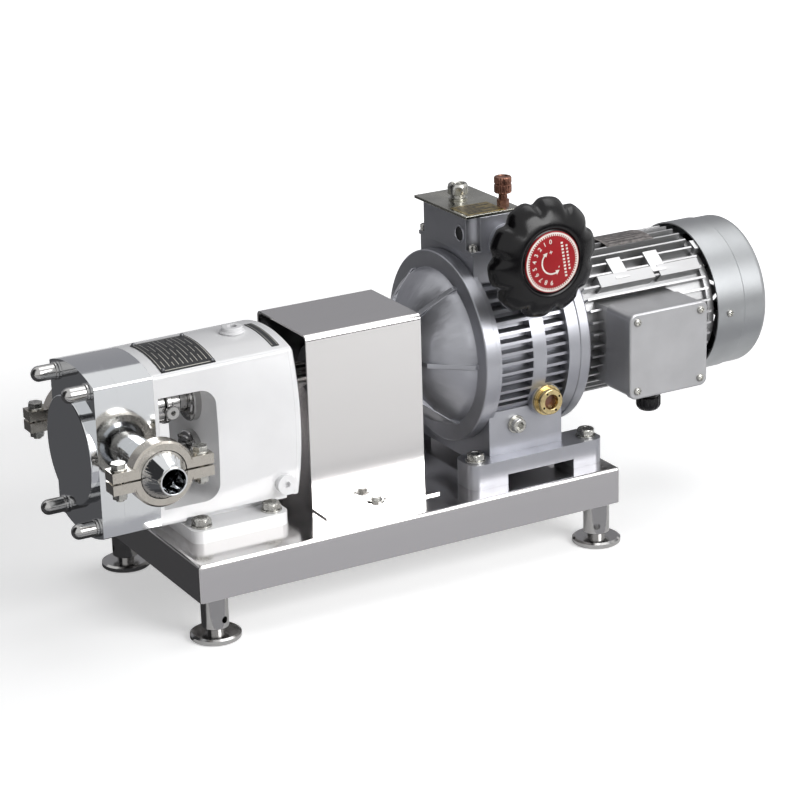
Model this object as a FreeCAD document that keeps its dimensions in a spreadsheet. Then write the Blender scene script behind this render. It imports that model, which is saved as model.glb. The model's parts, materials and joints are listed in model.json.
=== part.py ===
import FreeCAD, Part
import math
import os
from types import SimpleNamespace

import Sketcher

# Rotary lobe pump set on a levelled base, in millimetres.
# The work is laid out on the drive line: x runs along it from the middle of the coupling,
# with the pump on the minus side and the motor on the plus side, y = 0 is the line itself,
# and z = 0 is the floor. Each finished piece is then moved so that the middle of the
# whole set's footprint is the origin.

SIZES = [
    ("foot_height", 43.0, "floor to the underside of the base"),
    ("foot_disc_d", 50.4, "floor disc of a levelling foot"),
    ("foot_disc_thick", 6.0, "floor disc thickness"),
    ("foot_post_d", 27.0, "post of a levelling foot"),
    ("foot_neck_d", 18.0, "neck between disc and post"),
    ("foot_neck_rise", 5.5, "height of that neck"),
    ("foot_stud_d", 16.0, "threaded stud above the post"),
    ("foot_stud_length", 26.0, "stud length above the post"),
    ("foot_bar_d", 7.0, "cross hole for a tommy bar"),
    ("foot_bar_rise", 9.0, "cross hole above the foot of the post"),
    ("foot_inset_x", 20.3, "foot axis in from the base's end"),
    ("foot_inset_y", 14.7, "foot axis in from the base's side"),
    ("base_length", 480.0, "base tray length"),
    ("base_width", 242.0, "base tray width"),
    ("base_height", 38.8, "base tray height"),
    ("base_sheet", 3.0, "base tray sheet"),
    ("base_lip", 32.0, "return lip under the base"),
    ("base_bend", 3.5, "rounded fold of the base"),
    ("base_middle", 17.9, "middle of the base from the middle of the coupling"),
    ("line_rise", 125.95, "drive line above the top of the base"),
    ("shaft_spacing", 59.2, "distance between the two pump shafts"),
    ("shaft_d", 25.0, "pump and variator shaft"),
    ("fit_gap", 0.03, "radial clearance of shafts in bearings and hubs"),
    ("seal_gap", 0.06, "radial clearance of shafts in seals"),
    ("guard_length", 129.3, "coupling guard length"),
    ("guard_width", 106.0, "coupling guard over its walls"),
    ("guard_height", 182.7, "coupling guard above the base"),
    ("guard_sheet", 2.0, "coupling guard sheet"),
    ("guard_flange", 30.0, "outward foot of the guard"),
    ("guard_bend", 6.0, "guard fold radius"),
    ("guard_slot_d", 7.0, "slot for the guard screws"),
    ("pump_gap", 13.5, "guard to the back of the pump"),
    ("gear_cover_thick", 7.0, "rear cover of the pump's gear case"),
    ("cover_boss", 11.0, "bearing bosses inside the rear cover"),
    ("housing_length", 143.8, "bearing housing without its rear cover"),
    ("case_length", 37.4, "rotor case along the shafts"),
    ("cover_thick", 23.3, "front cover"),
    ("disc_thick", 8.0, "round boss on the front cover"),
    ("disc_d", 108.8, "round boss diameter"),
    ("case_width", 108.0, "rotor case width"),
    ("case_shoulder", 76.0, "case corners above and below the pump's middle"),
    ("case_crown", 10.0, "rise of the case's arched top and bottom"),
    ("housing_shoulder", 78.0, "housing corners above and below the pump's middle"),
    ("housing_bulge", 11.0, "swell of the housing's sides at the back"),
    ("housing_face", 4.0, "housing plate behind the rotor case"),
    ("window_length", 59.0, "side window along the shafts"),
    ("window_top", 54.0, "window above the pump's middle"),
    ("window_bottom", 60.0, "window below the pump's middle"),
    ("window_round", 16.0, "rounded inner corners of the window"),
    ("bearing_wall", 20.0, "wall that holds the front bearings"),
    ("bearing_d", 52.0, "shaft bearing outside"),
    ("bearing_width", 15.0, "shaft bearing width"),
    ("gear_room_half_width", 44.0, "gear room half width"),
    ("gear_room_half_height", 66.0, "gear room half height"),
    ("gear_width", 22.0, "timing gear width"),
    ("gear_backlash", 0.4, "play between timing gear teeth"),
    ("housing_foot_length", 104.0, "pump foot along the shafts"),
    ("housing_foot_width", 142.0, "pump foot width"),
    ("housing_foot_thick", 13.0, "pump foot thickness"),
    ("housing_foot_gap", 20.0, "foot's end behind the gear case's rear"),
    ("housing_stem_width", 76.0, "stem between pump foot and housing"),
    ("housing_stem_rise", 10.5, "open height over the pump foot"),
    ("plug_boss_d", 20.0, "boss of the lower oil plug"),
    ("plug_boss_inset", 19.0, "lower oil plug in front of the housing's rear"),
    ("plug_boss_drop", 57.6, "lower oil plug below the pump's middle"),
    ("plug_boss_reach", 65.0, "face of the lower oil plug off the line"),
    ("filler_inset", 40.0, "oil filler in front of the housing's rear"),
    ("pump_bolt_y", 57.0, "pump foot bolts off the line"),
    ("pump_bolt_span", 76.0, "pump foot bolts along the line"),
    ("bolt_d", 10.0, "foot bolts"),
    ("bolt_head_af", 17.0, "foot bolt head across flats"),
    ("bolt_head_rise", 6.4, "foot bolt head height"),
    ("bolt_hole_gap", 0.5, "radial play of a bolt in its hole"),
    ("rear_wall", 7.0, "rotor case wall behind the rotors"),
    ("rotor_gap", 0.25, "clearance around the rotors"),
    ("stud_y", 38.0, "cover studs off the line"),
    ("stud_z", 69.0, "cover studs above and below the pump's middle"),
    ("stud_d", 10.0, "cover stud"),
    ("cap_nut_d", 15.6, "domed cap nut"),
    ("cap_nut_length", 26.0, "domed cap nut length"),
    ("port_reach", 101.0, "port joint face off the line"),
    ("neck_d", 36.0, "port neck outside"),
    ("port_bore_d", 31.0, "port neck bore"),
    ("ferrule_d", 50.5, "clamp ferrule"),
    ("ferrule_rim", 2.4, "ferrule rim thickness"),
    ("gasket_thick", 1.6, "port gasket"),
    ("pipe_d", 27.6, "pipe end of the reducer"),
    ("pipe_wall", 1.6, "reducer wall"),
    ("stub_length", 30.5, "reducer length"),
    ("clamp_d", 65.0, "clamp ring outside"),
    ("clamp_width", 18.0, "clamp ring along the port"),
    ("clamp_ear_reach", 52.0, "clamp ears off the port axis"),
    ("clamp_ear_thick", 10.0, "clamp ear thickness"),
    ("clamp_split", 2.0, "gap between the clamp halves"),
    ("clamp_bolt_reach", 42.0, "clamp bolts off the port axis"),
    ("clamp_bolt_d", 8.0, "clamp bolt"),
    ("clamp_play", 0.3, "clearance of the clamp on the ferrules"),
    ("bell_length", 47.9, "guard to the front of the variator flange"),
    ("bell_nose_gap", 3.5, "guard to the nose of the bell"),
    ("flange_d", 200.0, "variator flange"),
    ("bell_flange_thick", 13.4, "flange of the front bell"),
    ("flange_width", 18.0, "flange round the mouth of the bell"),
    ("bell_wall", 7.0, "bell wall"),
    ("bell_rib", 5.0, "bell rib thickness"),
    ("front_ring_thick", 5.2, "front ring of the finned housing"),
    ("fin_zone", 79.9, "finned length of the housing"),
    ("rear_ring_thick", 13.3, "rear ring of the finned housing"),
    ("motor_flange_thick", 13.3, "motor flange"),
    ("fin_sink", 6.0, "fin tips in from the flange's edge"),
    ("fin_depth", 12.0, "height of the fins over the drum"),
    ("drum_wall", 8.0, "finned housing wall"),
    ("fin_pitch", 10.3, "distance between fins"),
    ("fin_thick", 3.0, "fin thickness"),
    ("band_start", 40.0, "smooth band behind the front ring"),
    ("band_width", 16.0, "smooth band between the fins"),
    ("stand_length", 86.5, "pedestal along the line"),
    ("stand_inset", 20.0, "pedestal's side in from the flange's edge"),
    ("stand_start", 126.0, "front of the pedestal"),
    ("rail_length", 159.0, "foot rail along the line"),
    ("rail_start", 94.85, "front of the foot rails"),
    ("rail_inset", 2.4, "foot rails in from the flange's edge"),
    ("rail_width", 38.0, "foot rail width"),
    ("rail_thick", 16.0, "foot rail thickness"),
    ("pad_rise", 10.2, "pads under the rails"),
    ("pad_length", 42.0, "length of a pad"),
    ("rail_round", 11.0, "rounded ends of the rails"),
    ("rail_bolt_inset", 13.0, "rail bolts in from the rail's ends"),
    ("rail_bolt_edge", 15.6, "rail bolts in from the rail's outer edge"),
    ("sight_along", 63.5, "oil sight behind the front of the pedestal"),
    ("sight_drop", 48.0, "oil sight below the line"),
    ("sight_inset", 12.0, "oil sight's seat in from the flange's edge"),
    ("drain_along", 31.5, "drain plug behind the front of the pedestal"),
    ("drain_drop", 70.5, "drain plug below the line"),
    ("race_depth", 8.2, "fixed race inside the drum's wall"),
    ("disc_play", 0.4, "play of the rolling discs"),
    ("saddle_start", 125.0, "front of the control saddle"),
    ("saddle_length", 64.0, "control saddle along the line"),
    ("saddle_width", 106.0, "control saddle across the line"),
    ("saddle_over_flange", 5.3, "top of the saddle above the flange"),
    ("control_height", 39.0, "control box above the saddle"),
    ("control_wall", 7.0, "control box wall"),
    ("corner_cut", 11.0, "recess for the control box screws"),
    ("lid_thick", 3.0, "control box lid"),
    ("lid_lap", 5.0, "lid over the box at the front"),
    ("plugged_port_d", 10.0, "plugged port on the control box's end"),
    ("plugged_port_y", -30.0, "that port off the line"),
    ("plugged_port_rise", 22.5, "that port above the saddle"),
    ("filler_along", 24.0, "oil filler behind the front of the control box"),
    ("filler_y", 12.5, "oil filler off the line"),
    ("vent_along", 53.0, "vent behind the front of the control box"),
    ("vent_y", -28.0, "vent off the line"),
    ("wheel_along", 163.4, "handwheel axis along the line"),
    ("wheel_over_saddle", 10.45, "handwheel axis above the saddle"),
    ("wheel_d", 123.0, "handwheel over its lobes"),
    ("wheel_lobe", 4.5, "depth of the scallops"),
    ("wheel_thick", 25.0, "handwheel rim thickness"),
    ("wheel_face", 141.0, "handwheel front off the line"),
    ("wheel_hub_d", 32.0, "handwheel hub"),
    ("dial_d", 62.0, "dial disc"),
    ("dial_thick", 2.5, "dial disc thickness"),
    ("spindle_d", 12.0, "control spindle"),
    ("spindle_play", 0.05, "clearance of the spindle in its boss"),
    ("nut_travel", 12.0, "travel of the control nut each way"),
    ("motor_core_d", 134.0, "motor frame under its fins"),
    ("motor_fin_d", 158.0, "motor frame over its fins"),
    ("motor_fin_thick", 2.2, "motor fin thickness"),
    ("motor_neck", 15.4, "flange to the fins"),
    ("motor_fin_length", 148.5, "finned length of the motor"),
    ("motor_bore_d", 120.0, "motor frame bore"),
    ("fan_d", 136.0, "motor fan over its blades"),
    ("lug_width", 12.0, "lugs that carry the fan cowl"),
    ("cowl_gap", 7.4, "fins to the cowl"),
    ("cowl_length", 65.5, "fan cowl length"),
    ("cowl_d", 163.0, "fan cowl diameter"),
    ("cowl_sheet", 1.6, "fan cowl sheet"),
    ("cowl_step_at", 34.0, "step of the cowl from its mouth"),
    ("cowl_step", 1.2, "height of that step"),
    ("cowl_round", 7.0, "rounded back edge of the cowl"),
    ("motor_shaft_d", 20.0, "motor shaft"),
    ("motor_bearing_d", 47.0, "motor bearing outside"),
    ("motor_bearing_width", 14.0, "motor bearing width"),
    ("air_gap", 0.5, "gap between motor rotor and stator"),
    ("box_start", 10.9, "terminal box behind the start of the motor fins"),
    ("box_length", 95.8, "terminal box along the line"),
    ("box_height", 91.5, "terminal box height"),
    ("box_drop", 6.9, "terminal box middle below the line"),
    ("box_face", 130.0, "terminal box face off the line"),
    ("box_seat", 84.0, "terminal box back off the line"),
    ("box_lid_thick", 8.0, "terminal box lid"),
    ("box_wall", 4.0, "terminal box wall"),
    ("box_round", 8.0, "terminal box corner radius"),
    ("gland_d", 27.0, "cable gland"),
    ("gland_drop", 23.0, "cable gland below the box"),
    ("gland_bore_d", 13.0, "cable gland bore"),
    ("gland_along", 37.5, "gland behind the front of the terminal box"),
]


class Dim:
    """A length that carries both its number and the sheet expression that gives it."""

    def __init__(self, value, text):
        self.value = value
        self.text = text

    @staticmethod
    def of(thing):
        if isinstance(thing, Dim):
            return thing
        return Dim(float(thing), f"({float(thing)!r})")

    def __add__(self, other):
        other = Dim.of(other)
        return Dim(self.value + other.value, f"({self.text} + {other.text})")

    def __sub__(self, other):
        other = Dim.of(other)
        return Dim(self.value - other.value, f"({self.text} - {other.text})")

    def __mul__(self, other):
        other = Dim.of(other)
        return Dim(self.value * other.value, f"({self.text} * {other.text})")

    def __truediv__(self, other):
        other = Dim.of(other)
        return Dim(self.value / other.value, f"({self.text} / {other.text})")

    def __radd__(self, other):
        return Dim.of(other) + self

    def __rsub__(self, other):
        return Dim.of(other) - self

    def __rmul__(self, other):
        return Dim.of(other) * self

    def __neg__(self):
        return Dim.of(0.0) - self


V = FreeCAD.Vector
NO_TURN = FreeCAD.Rotation()
# A turned piece is drawn with its axis upright; these lay it along the line or across it.
ALONG_X = FreeCAD.Rotation(V(0, 1, 0), 90)
TOWARDS_VIEWER = FreeCAD.Rotation(V(1, 0, 0), 90)
AWAY_FROM_VIEWER = FreeCAD.Rotation(V(1, 0, 0), -90)

doc = FreeCAD.newDocument("LobePump")
sheet = doc.addObject("Spreadsheet::Sheet", "Sizes")
for row, (alias, number, meaning) in enumerate(SIZES, start=1):
    sheet.set(f"A{row}", meaning)
    sheet.set(f"B{row}", str(number))
    sheet.setAlias(f"B{row}", alias)
doc.recompute()
d = SimpleNamespace(**{alias: Dim(number, f"Sizes.{alias}") for alias, number, meaning in SIZES})

# Heights
BASE_TOP = d.foot_height + d.base_height
LINE_Z = BASE_TOP + d.line_rise
PUMP_Z = LINE_Z - d.shaft_spacing / 2
LOWER_Z = LINE_Z - d.shaft_spacing

# Stations along the line, pump side
GUARD_HALF = d.guard_length / 2
PUMP_BACK = -(GUARD_HALF + d.pump_gap)
HOUSING_BACK = PUMP_BACK - d.gear_cover_thick
REAR_BEARING = HOUSING_BACK - d.cover_boss
HOUSING_FRONT = HOUSING_BACK - d.housing_length
CASE_FRONT = HOUSING_FRONT - d.case_length
COVER_FRONT = CASE_FRONT - d.cover_thick
DISC_FRONT = COVER_FRONT - d.disc_thick
NUT_TIP = COVER_FRONT - d.cap_nut_length
PORT_X = CASE_FRONT + d.case_length / 2
CHAMBER_BACK = HOUSING_FRONT - d.rear_wall
WINDOW_FRONT = HOUSING_FRONT + d.housing_face
WINDOW_BACK = WINDOW_FRONT + d.window_length
GEAR_ROOM_FRONT = WINDOW_BACK + d.bearing_wall
FOOT_BACK = PUMP_BACK - d.housing_foot_gap
FOOT_FRONT = FOOT_BACK - d.housing_foot_length
PUMP_FOOT_TOP = BASE_TOP + d.housing_foot_thick

# Stations along the line, drive side
FLANGE_FRONT = GUARD_HALF + d.bell_length
RING_FRONT = FLANGE_FRONT + d.bell_flange_thick
FIN_FRONT = RING_FRONT + d.front_ring_thick
FIN_BACK = FIN_FRONT + d.fin_zone
RING_BACK = FIN_BACK + d.rear_ring_thick
MOTOR_FLANGE_BACK = RING_BACK + d.motor_flange_thick
MOTOR_FRONT = MOTOR_FLANGE_BACK + d.motor_neck
MOTOR_BACK = MOTOR_FRONT + d.motor_fin_length
COWL_FRONT = MOTOR_BACK + d.cowl_gap
COWL_BACK = COWL_FRONT + d.cowl_length
RAIL_TOP = BASE_TOP + d.pad_rise + d.rail_thick
FLANGE_R = d.flange_d / 2
SADDLE_TOP = LINE_Z + FLANGE_R + d.saddle_over_flange
CONTROL_TOP = SADDLE_TOP + d.control_height
LID_TOP = CONTROL_TOP + d.lid_thick
WHEEL_Z = SADDLE_TOP + d.wheel_over_saddle
DIAL_FACE = d.wheel_face + d.dial_thick
PORT_END = d.port_reach + d.gasket_thick + d.stub_length
BOX_FRONT = MOTOR_FRONT + d.box_start
BOX_Z = LINE_Z - d.box_drop

# What moves the origin to the middle of the set's footprint
SHIFT_X = -(NUT_TIP + COWL_BACK) / 2
SHIFT_Y = (DIAL_FACE - PORT_END) / 2

SHAFT_R = d.shaft_d / 2
MOUTH_R = FLANGE_R - d.flange_width
FIN_R = FLANGE_R - d.fin_sink
DRUM_R = FIN_R - d.fin_depth
STAND_HALF = FLANGE_R - d.stand_inset
RAIL_REACH = FLANGE_R - d.rail_inset
SUB_PARTS = []
SMALL_SCREWS = []


def put(thing, x=0, y=0, z=0, turn=NO_TURN):
    """Places an object on the drive line's own axes."""
    thing.Placement = FreeCAD.Placement(V(0, 0, 0), turn)
    for axis, place in zip("xyz", (x, y, z)):
        thing.setExpression(f".Placement.Base.{axis}", Dim.of(place).text)
    return thing


def sub_part(thing, label, x=0, y=0, z=0, turn=NO_TURN):
    """Names a finished piece and moves it to the set's own origin."""
    thing.Label = label
    put(thing, SHIFT_X + x, SHIFT_Y + y, z, turn)
    SUB_PARTS.append(thing)
    return thing


def new_body(name):
    return doc.addObject("PartDesign::Body", name)


def origin_feature(body, role):
    return next(item for item in body.Origin.OriginFeatures if item.Role == role)


def new_sketch(body, role="XZ_Plane", offset=None):
    """A sketch on one of the body's own planes, moved along the plane's normal."""
    sketch = body.newObject("Sketcher::SketchObject", "Sketch")
    sketch.AttachmentSupport = [(origin_feature(body, role), "")]
    sketch.MapMode = "FlatFace"
    if offset is not None:
        sketch.setExpression(".AttachmentOffset.Base.z", Dim.of(offset).text)
    return sketch


def bow(start, end, radius):
    """An arc from start to end that bows to the right of the way there."""
    chord = end - start
    half = chord.Length / 2
    aside = V(chord.y, -chord.x, 0).normalize()
    middle = start + chord / 2
    centre = middle - aside * math.sqrt(max(radius * radius - half * half, 0.0))
    first = math.atan2(start.y - centre.y, start.x - centre.x)
    last = math.atan2(end.y - centre.y, end.x - centre.x)
    if last < first:
        last += 2 * math.pi
    return Part.ArcOfCircle(Part.Circle(centre, V(0, 0, 1), radius), first, last)


def draw_loop(sketch, corners, bows=None):
    """Closes an outline through the corners, counter-clockwise, each corner held by its sizes.

    bows gives the radius of each edge that bows outward, by the number of the edge.
    """
    bows = bows or {}
    points = [(Dim.of(u), Dim.of(v)) for u, v in corners]
    count = len(points)
    first = sketch.GeometryCount
    for number, (u, v) in enumerate(points):
        start = V(u.value, v.value, 0)
        end = V(points[(number + 1) % count][0].value, points[(number + 1) % count][1].value, 0)
        if number in bows:
            sketch.addGeometry(bow(start, end, Dim.of(bows[number]).value), False)
        else:
            sketch.addGeometry(Part.LineSegment(start, end), False)
    bound = []
    rules = []
    for number, (u, v) in enumerate(points):
        rules.append(Sketcher.Constraint("Coincident", first + number, 2,
                                         first + (number + 1) % count, 1))
        for kind, place in (("DistanceX", u), ("DistanceY", v)):
            bound.append((len(rules), place))
            rules.append(Sketcher.Constraint(kind, -1, 1, first + number, 1, place.value))
        if number in bows:
            bound.append((len(rules), Dim.of(bows[number])))
            rules.append(Sketcher.Constraint("Radius", first + number, bound[-1][1].value))
    bind_rules(sketch, rules, bound)


def draw_circles(sketch, circles):
    """Circles given as centre and radius, each held by its sizes."""
    rules = []
    bound = []
    for number, circle in enumerate(circles, start=sketch.GeometryCount):
        u, v, radius = (Dim.of(part) for part in circle)
        sketch.addGeometry(Part.Circle(V(u.value, v.value, 0), V(0, 0, 1), radius.value), False)
        for kind, place in (("DistanceX", u), ("DistanceY", v)):
            bound.append((len(rules), place))
            rules.append(Sketcher.Constraint(kind, -1, 1, number, 3, place.value))
        bound.append((len(rules), radius))
        rules.append(Sketcher.Constraint("Radius", number, radius.value))
    bind_rules(sketch, rules, bound)


def bind_rules(sketch, rules, bound):
    """Adds the rules of a sketch and ties each measured one to the sheet."""
    first = sketch.ConstraintCount
    sketch.addConstraint(rules)
    for number, place in bound:
        name = f"rule_{first + number}"
        sketch.renameConstraint(first + number, name)
        sketch.setExpression(f"Constraints.{name}", place.text)


def pad(body, sketch, length, middle=False, backwards=False):
    """Adds the sketch's outline as a prism."""
    feature = body.newObject("PartDesign::Pad", "Pad")
    feature.Profile = sketch
    feature.setExpression("Length", Dim.of(length).text)
    feature.Midplane = middle
    feature.Reversed = backwards
    doc.recompute()
    return feature


def pocket(body, sketch, length=None, backwards=False):
    """Cuts the sketch's outline, right through both ways unless a length is given."""
    before = body.Tip.Shape.Volume
    feature = body.newObject("PartDesign::Pocket", "Pocket")
    feature.Profile = sketch
    feature.Reversed = backwards
    if length is None:
        feature.Type = "ThroughAll"
        feature.Midplane = True
    else:
        feature.setExpression("Length", Dim.of(length).text)
    doc.recompute()
    if not feature.Shape.Volume < before - 1e-6:
        raise ValueError(f"a pocket of {body.Name} cuts nothing")
    return feature


def polar(body, feature, role, count):
    """Repeats a feature round one of the body's own axes."""
    pattern = body.newObject("PartDesign::PolarPattern", "Pattern")
    pattern.Originals = [feature]
    pattern.Axis = (origin_feature(body, role), [""])
    pattern.Angle = 360
    pattern.Occurrences = count
    body.Tip = pattern
    doc.recompute()
    return pattern


def dress(body, kind, size, wanted):
    """Rounds or bevels the edges of the body's last feature that the test picks."""
    base = body.Tip
    names = [f"Edge{number}" for number, edge in enumerate(base.Shape.Edges, start=1)
             if wanted(edge)]
    feature = body.newObject(f"PartDesign::{kind}", kind)
    feature.Base = (base, names)
    feature.setExpression("Radius" if kind == "Fillet" else "Size", Dim.of(size).text)
    doc.recompute()
    return feature


def runs_along(edge, axis, tolerance=1e-4):
    """Whether a straight edge lies along x, y or z."""
    box = edge.BoundBox
    spans = {"x": box.XLength, "y": box.YLength, "z": box.ZLength}
    return abs(spans.pop(axis) - edge.Length) < tolerance and max(spans.values()) < tolerance


def at_height(edge, axis, place, tolerance=1e-3):
    """Whether a whole edge lies at one place along x, y or z."""
    box = edge.BoundBox
    low, high = {"x": (box.XMin, box.XMax), "y": (box.YMin, box.YMax),
                 "z": (box.ZMin, box.ZMax)}[axis]
    return abs(low - place) < tolerance and abs(high - place) < tolerance


def turned(name, profile, bows=None):
    """A piece turned about the upright axis from corners given as radius and height."""
    body = new_body(name)
    sketch = new_sketch(body, "XZ_Plane")
    draw_loop(sketch, profile, bows)
    feature = body.newObject("PartDesign::Revolution", "Revolution")
    feature.Profile = sketch
    feature.ReferenceAxis = (sketch, ["V_Axis"])
    feature.Angle = 360
    doc.recompute()
    return body


def lathe(name, steps, bore=0):
    """A turned piece given as heights and radii of its outside, with a plain bore."""
    bottom = steps[0][0]
    top = steps[-1][0]
    outside = [(radius, height) for height, radius in steps]
    return turned(name, [(bore, bottom)] + outside + [(bore, top)])


def cylinder(name, radius, length, x=0, y=0, z=0, turn=NO_TURN):
    thing = doc.addObject("Part::Cylinder", name)
    thing.setExpression("Radius", Dim.of(radius).text)
    thing.setExpression("Height", Dim.of(length).text)
    return put(thing, x, y, z, turn)


def block(name, x_pair, y_pair, z_pair):
    thing = doc.addObject("Part::Box", name)
    for side, (low, high) in (("Length", x_pair), ("Width", y_pair), ("Height", z_pair)):
        thing.setExpression(side, (Dim.of(high) - Dim.of(low)).text)
    return put(thing, x_pair[0], y_pair[0], z_pair[0])


def spoke(name, x_pair, r_pair, width, degrees):
    """A block that stands out from the drive line, turned from upright towards the viewer."""
    angle = math.radians(degrees)
    thing = doc.addObject("Part::Box", name)
    for side, (low, high) in (("Length", x_pair), ("Height", r_pair)):
        thing.setExpression(side, (Dim.of(high) - Dim.of(low)).text)
    thing.setExpression("Width", Dim.of(width).text)
    half = Dim.of(width) / 2
    y = -half * math.cos(angle) - Dim.of(r_pair[0]) * math.sin(angle)
    z = LINE_Z - half * math.sin(angle) + Dim.of(r_pair[0]) * math.cos(angle)
    return put(thing, x_pair[0], y, z, FreeCAD.Rotation(V(1, 0, 0), degrees))


def union(name, things):
    joined = doc.addObject("Part::MultiFuse", name)
    joined.Shapes = things
    joined.Refine = True
    return joined


def difference(name, base, tools):
    cut = doc.addObject("Part::Cut", name)
    cut.Base = base
    cut.Tool = tools[0] if len(tools) == 1 else union(name + "_tools", tools)
    return cut


def overlap(name, base, tool):
    common = doc.addObject("Part::Common", name)
    common.Base = base
    common.Tool = tool
    return common


def group(name, things):
    """Loose like pieces kept together as one set."""
    together = doc.addObject("Part::Compound", name)
    together.Links = things
    return together


def copies(name, master, places, turn=NO_TURN):
    """Copies of one piece, each at a place of its own."""
    links = []
    for number, (x, y, z) in enumerate(places):
        link = doc.addObject("App::Link", f"{name}_copy{number}")
        link.LinkedObject = master
        put(link, x, y, z, turn)
        links.append(link)
    return group(name, links)


def bolt_shape(name, diameter, across_flats, head_rise, shank):
    """A hexagon bolt, its seat at height zero, with a washer under the head."""
    washer = across_flats * 0.12
    head = new_body(name)
    sketch = new_sketch(head, "XY_Plane")
    corner = Dim.of(across_flats) / math.sqrt(3)
    angles = [math.radians(60 * number) for number in range(6)]
    draw_loop(sketch, [(corner * math.cos(a), corner * math.sin(a)) for a in angles])
    pad(head, sketch, washer + head_rise)
    sketch = new_sketch(head, "XY_Plane")
    draw_circles(sketch, [(0, 0, across_flats * 0.62)])
    pad(head, sketch, washer)
    sketch = new_sketch(head, "XY_Plane")
    draw_circles(sketch, [(0, 0, Dim.of(diameter) / 2)])
    pad(head, sketch, shank, backwards=True)
    return head


PUMP_BOLTS_X = (FOOT_FRONT + (d.housing_foot_length - d.pump_bolt_span) / 2,
                FOOT_BACK - (d.housing_foot_length - d.pump_bolt_span) / 2)
RAIL_BOLTS_X = (d.rail_start + d.rail_bolt_inset,
                d.rail_start + d.rail_length - d.rail_bolt_inset)
GUARD_SCREW_Y = d.guard_width / 2 + d.guard_flange / 2


def bolt_places():
    """Where the foot bolts stand: pump foot first, then the variator's rails."""
    pump = [(x, side * d.pump_bolt_y, PUMP_FOOT_TOP) for x in PUMP_BOLTS_X for side in (-1, 1)]
    rails = [(x, side * (RAIL_REACH - d.rail_bolt_edge), RAIL_TOP)
             for x in RAIL_BOLTS_X for side in (-1, 1)]
    return pump, rails


# Base and feet

def foot_places():
    along = d.base_length / 2 - d.foot_inset_x
    across = d.base_width / 2 - d.foot_inset_y
    names = {(-1, -1): "foot_pump_near", (-1, 1): "foot_pump_far",
             (1, -1): "foot_motor_near", (1, 1): "foot_motor_far"}
    return [(names[ends], d.base_middle + ends[0] * along, ends[1] * across)
            for ends in names]


def make_base():
    """Folded tray, open below, with a return lip that takes the feet."""
    body = new_body("Base")
    half_length = d.base_length / 2
    half_width = d.base_width / 2

    def rectangle(sketch, inset):
        draw_loop(sketch, [(-half_length + inset, -half_width + inset),
                           (half_length - inset, -half_width + inset),
                           (half_length - inset, half_width - inset),
                           (-half_length + inset, half_width - inset)])

    sketch = new_sketch(body, "XY_Plane")
    rectangle(sketch, 0)
    pad(body, sketch, d.base_height)
    dress(body, "Fillet", d.base_bend, lambda edge: runs_along(edge, "z")
          or at_height(edge, "z", d.base_height.value))
    sketch = new_sketch(body, "XY_Plane", d.base_sheet)
    rectangle(sketch, d.base_sheet)
    pocket(body, sketch, d.base_height - d.base_sheet * 2, backwards=True)
    sketch = new_sketch(body, "XY_Plane")
    rectangle(sketch, d.base_lip)
    pocket(body, sketch, d.base_sheet, backwards=True)
    sketch = new_sketch(body, "XY_Plane", d.base_sheet)
    seats = [(x - d.base_middle, y) for name, x, y in foot_places()]
    stud_hole = d.foot_stud_d / 2 + d.fit_gap * 3
    draw_circles(sketch, [(x, y, d.foot_stud_d * 0.8) for x, y in seats])
    pad(body, sketch, d.base_sheet * 3)
    sketch = new_sketch(body, "XY_Plane")
    draw_circles(sketch, [(x, y, stud_hole) for x, y in seats])
    pocket(body, sketch, d.base_sheet * 4, backwards=True)
    sketch = new_sketch(body, "XY_Plane", d.base_height)
    pump, rails = bolt_places()
    bolt_hole = d.bolt_d / 2 + d.bolt_hole_gap
    screw_hole = d.guard_slot_d / 2
    holes = [(x - d.base_middle, y, bolt_hole) for x, y, z in pump + rails]
    holes += [(-d.base_middle, side * GUARD_SCREW_Y, screw_hole) for side in (-1, 1)]
    draw_circles(sketch, holes)
    pocket(body, sketch, d.base_sheet)
    sub_part(body, "base_frame", d.base_middle, 0, d.foot_height)


def make_feet():
    """Levelling feet: a floor disc, a neck, a post with a bar hole, and the stud above it."""
    disc = d.foot_disc_d / 2
    neck = d.foot_neck_d / 2
    post = d.foot_post_d / 2
    stud = d.foot_stud_d / 2
    post_foot = d.foot_disc_thick + d.foot_neck_rise
    for number, (label, x, y) in enumerate(foot_places()):
        body = lathe(label, [(0, disc - 0.8), (0.8, disc), (d.foot_disc_thick - 1.5, disc),
                             (d.foot_disc_thick, disc - 2.5), (d.foot_disc_thick, neck),
                             (post_foot - 1.5, neck), (post_foot, post - 0.6),
                             (post_foot + 0.6, post), (d.foot_height, post),
                             (d.foot_height, stud), (d.foot_height + d.foot_stud_length, stud)])
        sketch = new_sketch(body, "XZ_Plane")
        draw_circles(sketch, [(0, post_foot + d.foot_bar_rise, d.foot_bar_d / 2)])
        pocket(body, sketch)
        turn = FreeCAD.Rotation(V(0, 0, 1), 20 + 65 * number)
        sub_part(body, label, x, y, 0, turn)


# Pump housing, rotor case and covers

def crown_radius(half, rise):
    return (half * half + rise * rise) / (rise * 2)


def case_outline(sketch, half_width, shoulder, crown, bulge=0, corner=1.5):
    """Upright sides with an arched top and bottom, rounded corners, and sides that may swell."""
    corner = Dim.of(corner)
    drop = crown * corner * 2 / half_width
    across = half_width - corner
    top = shoulder + drop
    side = shoulder - corner
    arches = crown_radius(across, crown - drop)
    corners = corner * 1.5
    bows = {0: arches, 1: corners, 3: corners, 4: arches, 5: corners, 7: corners}
    if bulge:
        bows[2] = bows[6] = crown_radius(side, bulge)
    draw_loop(sketch, [(-across, -top), (across, -top), (half_width, -side), (half_width, side),
                       (across, top), (-across, top), (-half_width, side), (-half_width, -side)],
              bows)


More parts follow.
